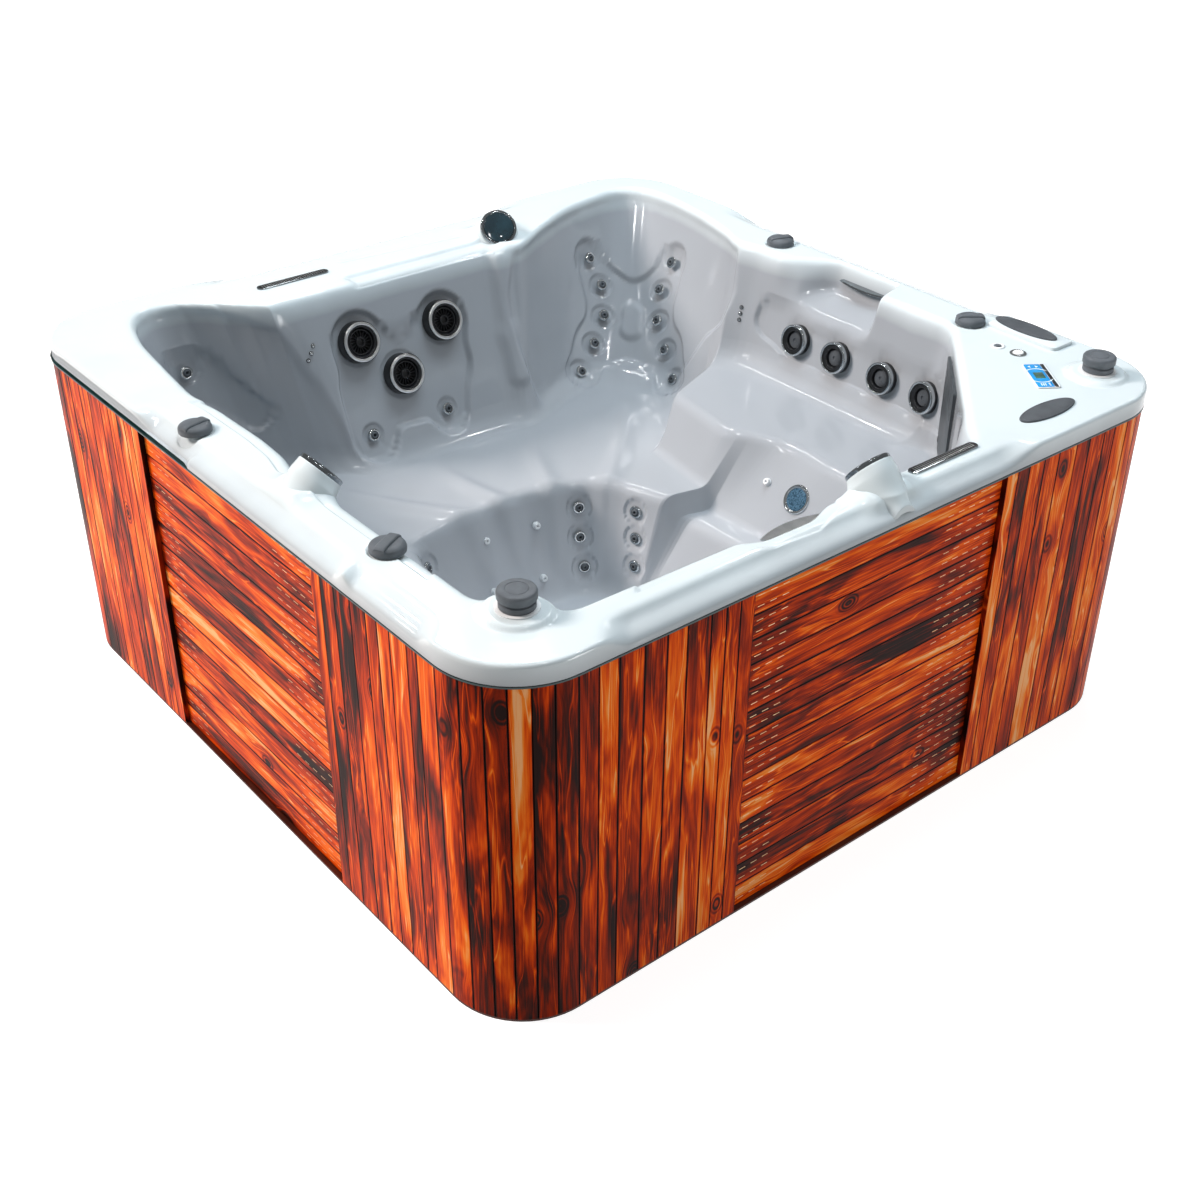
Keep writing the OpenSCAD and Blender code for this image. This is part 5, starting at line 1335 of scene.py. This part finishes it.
# %% [markdown]
# ## Solids that stay as they are
# Everything behind the panels keeps its solid and gets a finish: frame, props, pan, pipes,
# heater, pump and blower. So do the housings and wells that show through the shell's holes.
# %% Finish the remaining solids
# The corner battens take the dark pine, painted shade for the gaps between the corner boards
plain_solids = {"rim_gasket": rubber, "base_pan": pan_abs, "frame_rails": sawn_pine,
                "frame_studs": sawn_pine, "shell_props": sawn_pine, "corner_battens": gap_shade_pine,
                "large_jet_housings": black_abs, "medium_jet_housings": black_abs,
                "diverter_valves": white_abs, "air_valves": white_abs, "speaker_wells": black_abs,
                "skimmer_housing": white_abs, "pump_motor": motor_paint, "pump_wet_end": black_abs,
                "pump_impeller": overlay_pale, "heater_tube": heater_steel, "control_box": box_abs,
                "blower_housing": grey_abs, "blower_fan": white_abs, "water_pipes": pipe_pvc}
for node, finish in plain_solids.items():
    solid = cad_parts[node]
    solid.data.materials.clear()
    solid.data.materials.append(finish)
print("solids shown:", len(plain_solids))

# %% [markdown]
# ## Floor and light
# The floor, the backdrop and the world are all white to the camera, so the tub stands on
# plain white, but the floor keeps the shadow under the cabinet. A broad lamp overhead and a
# far, warmer one from the left light the tub. A low lamp lifts the near side, four strips
# draw long reflections, and six small lamps put sparks of light on the acrylic's edges.
# %% Set the stage
def stage_finish():
    mat, tree, _ = blank_finish("stage_white")
    at = add(tree, "ShaderNodeTexCoord").outputs["Object"]
    away = add(tree, VECTOR_MATH, at, operation="LENGTH").outputs["Value"]
    far = add(tree, RANGE, away, 1.5, 3.2, 0.86, 1.0)
    ray = add(tree, "ShaderNodeLightPath").outputs
    seen = add(tree, MATH, ray["Is Camera Ray"], ray["Is Glossy Ray"], operation="MAXIMUM")
    seen = add(tree, MATH, seen, ray["Is Transmission Ray"], operation="MAXIMUM")
    glow = add(tree, "ShaderNodeEmission", Strength=add(tree, MATH, far, seen, operation="MULTIPLY"))
    matte = add(tree, "ShaderNodeBsdfDiffuse", Color=colour("#B4B4B4"))
    settle(tree.nodes["Material Output"], Surface=add(tree, "ShaderNodeAddShader", matte, glow))
    return mat


bpy.ops.mesh.primitive_plane_add(size=60, location=(0, 0, 0))
ground = bpy.context.object
ground.name = "ground"
ground.data.materials.append(stage_finish())


def area_light(name, place, target, size, power, code="#FFFFFF", long=None, shine=True):
    data = bpy.data.lights.new(name, "AREA")
    data.shape = "RECTANGLE" if long else "DISK"
    data.size, data.energy = size, power
    if long:
        data.size_y = long
    data.color = colour(code)[:3]
    obj = new_object(name, data)
    obj.location = place
    obj.rotation_euler = (Vector(target) - Vector(place)).to_track_quat("-Z", "Y").to_euler()
    obj.visible_glossy = shine


area_light("overhead", (0.9, 0.3, 4.8), (0.3, -0.2, 0.6), 2.4, 118, "#EAF6FF", shine=False)
area_light("warm_side", (-9.0, 8.3, 9.4), (0.4, -0.2, 0.6), 4.2, 2850, "#FFF0E8", shine=False)
area_light("low_front", (0.8, -4.6, 0.75), (0.2, -1.0, 0.45), 1.3, 36)
STRIP_LIGHTS = {"near": (-0.6, -1.8, 3.6), "right": (2.2, 0.2, 3.4),
                "far": (0.9, 2.2, 3.6), "left": (-2.0, 1.4, 3.2)}
for name, place in STRIP_LIGHTS.items():
    area_light(f"strip_{name}", place, (0, 0, 0.6), 0.1, 7, long=1.1)
SPARKS = [(-1.4, -0.6), (-0.3, 0.5), (0.8, 1.4), (1.6, 0.2), (0.4, -1.2), (-0.9, 1.5)]
for i, (x, y) in enumerate(SPARKS, 1):
    area_light(f"spark_{i}", (x, y, 3.1), (x * 0.5, y * 0.5, 0.6), 0.07, 2.6)
world = bpy.data.worlds.new("world")
bpy.context.scene.world = world
world.use_nodes = True
ray = add(world.node_tree, "ShaderNodeLightPath").outputs
seen = add(world.node_tree, MATH, ray["Is Camera Ray"], ray["Is Transmission Ray"], operation="MAXIMUM")
strength = add(world.node_tree, MATH, seen, 0.77, 0.23, operation="MULTIPLY_ADD")
settle(world.node_tree.nodes["Background"], Color=(1, 1, 1, 1), Strength=strength)
print("lights:", len(bpy.data.lights))
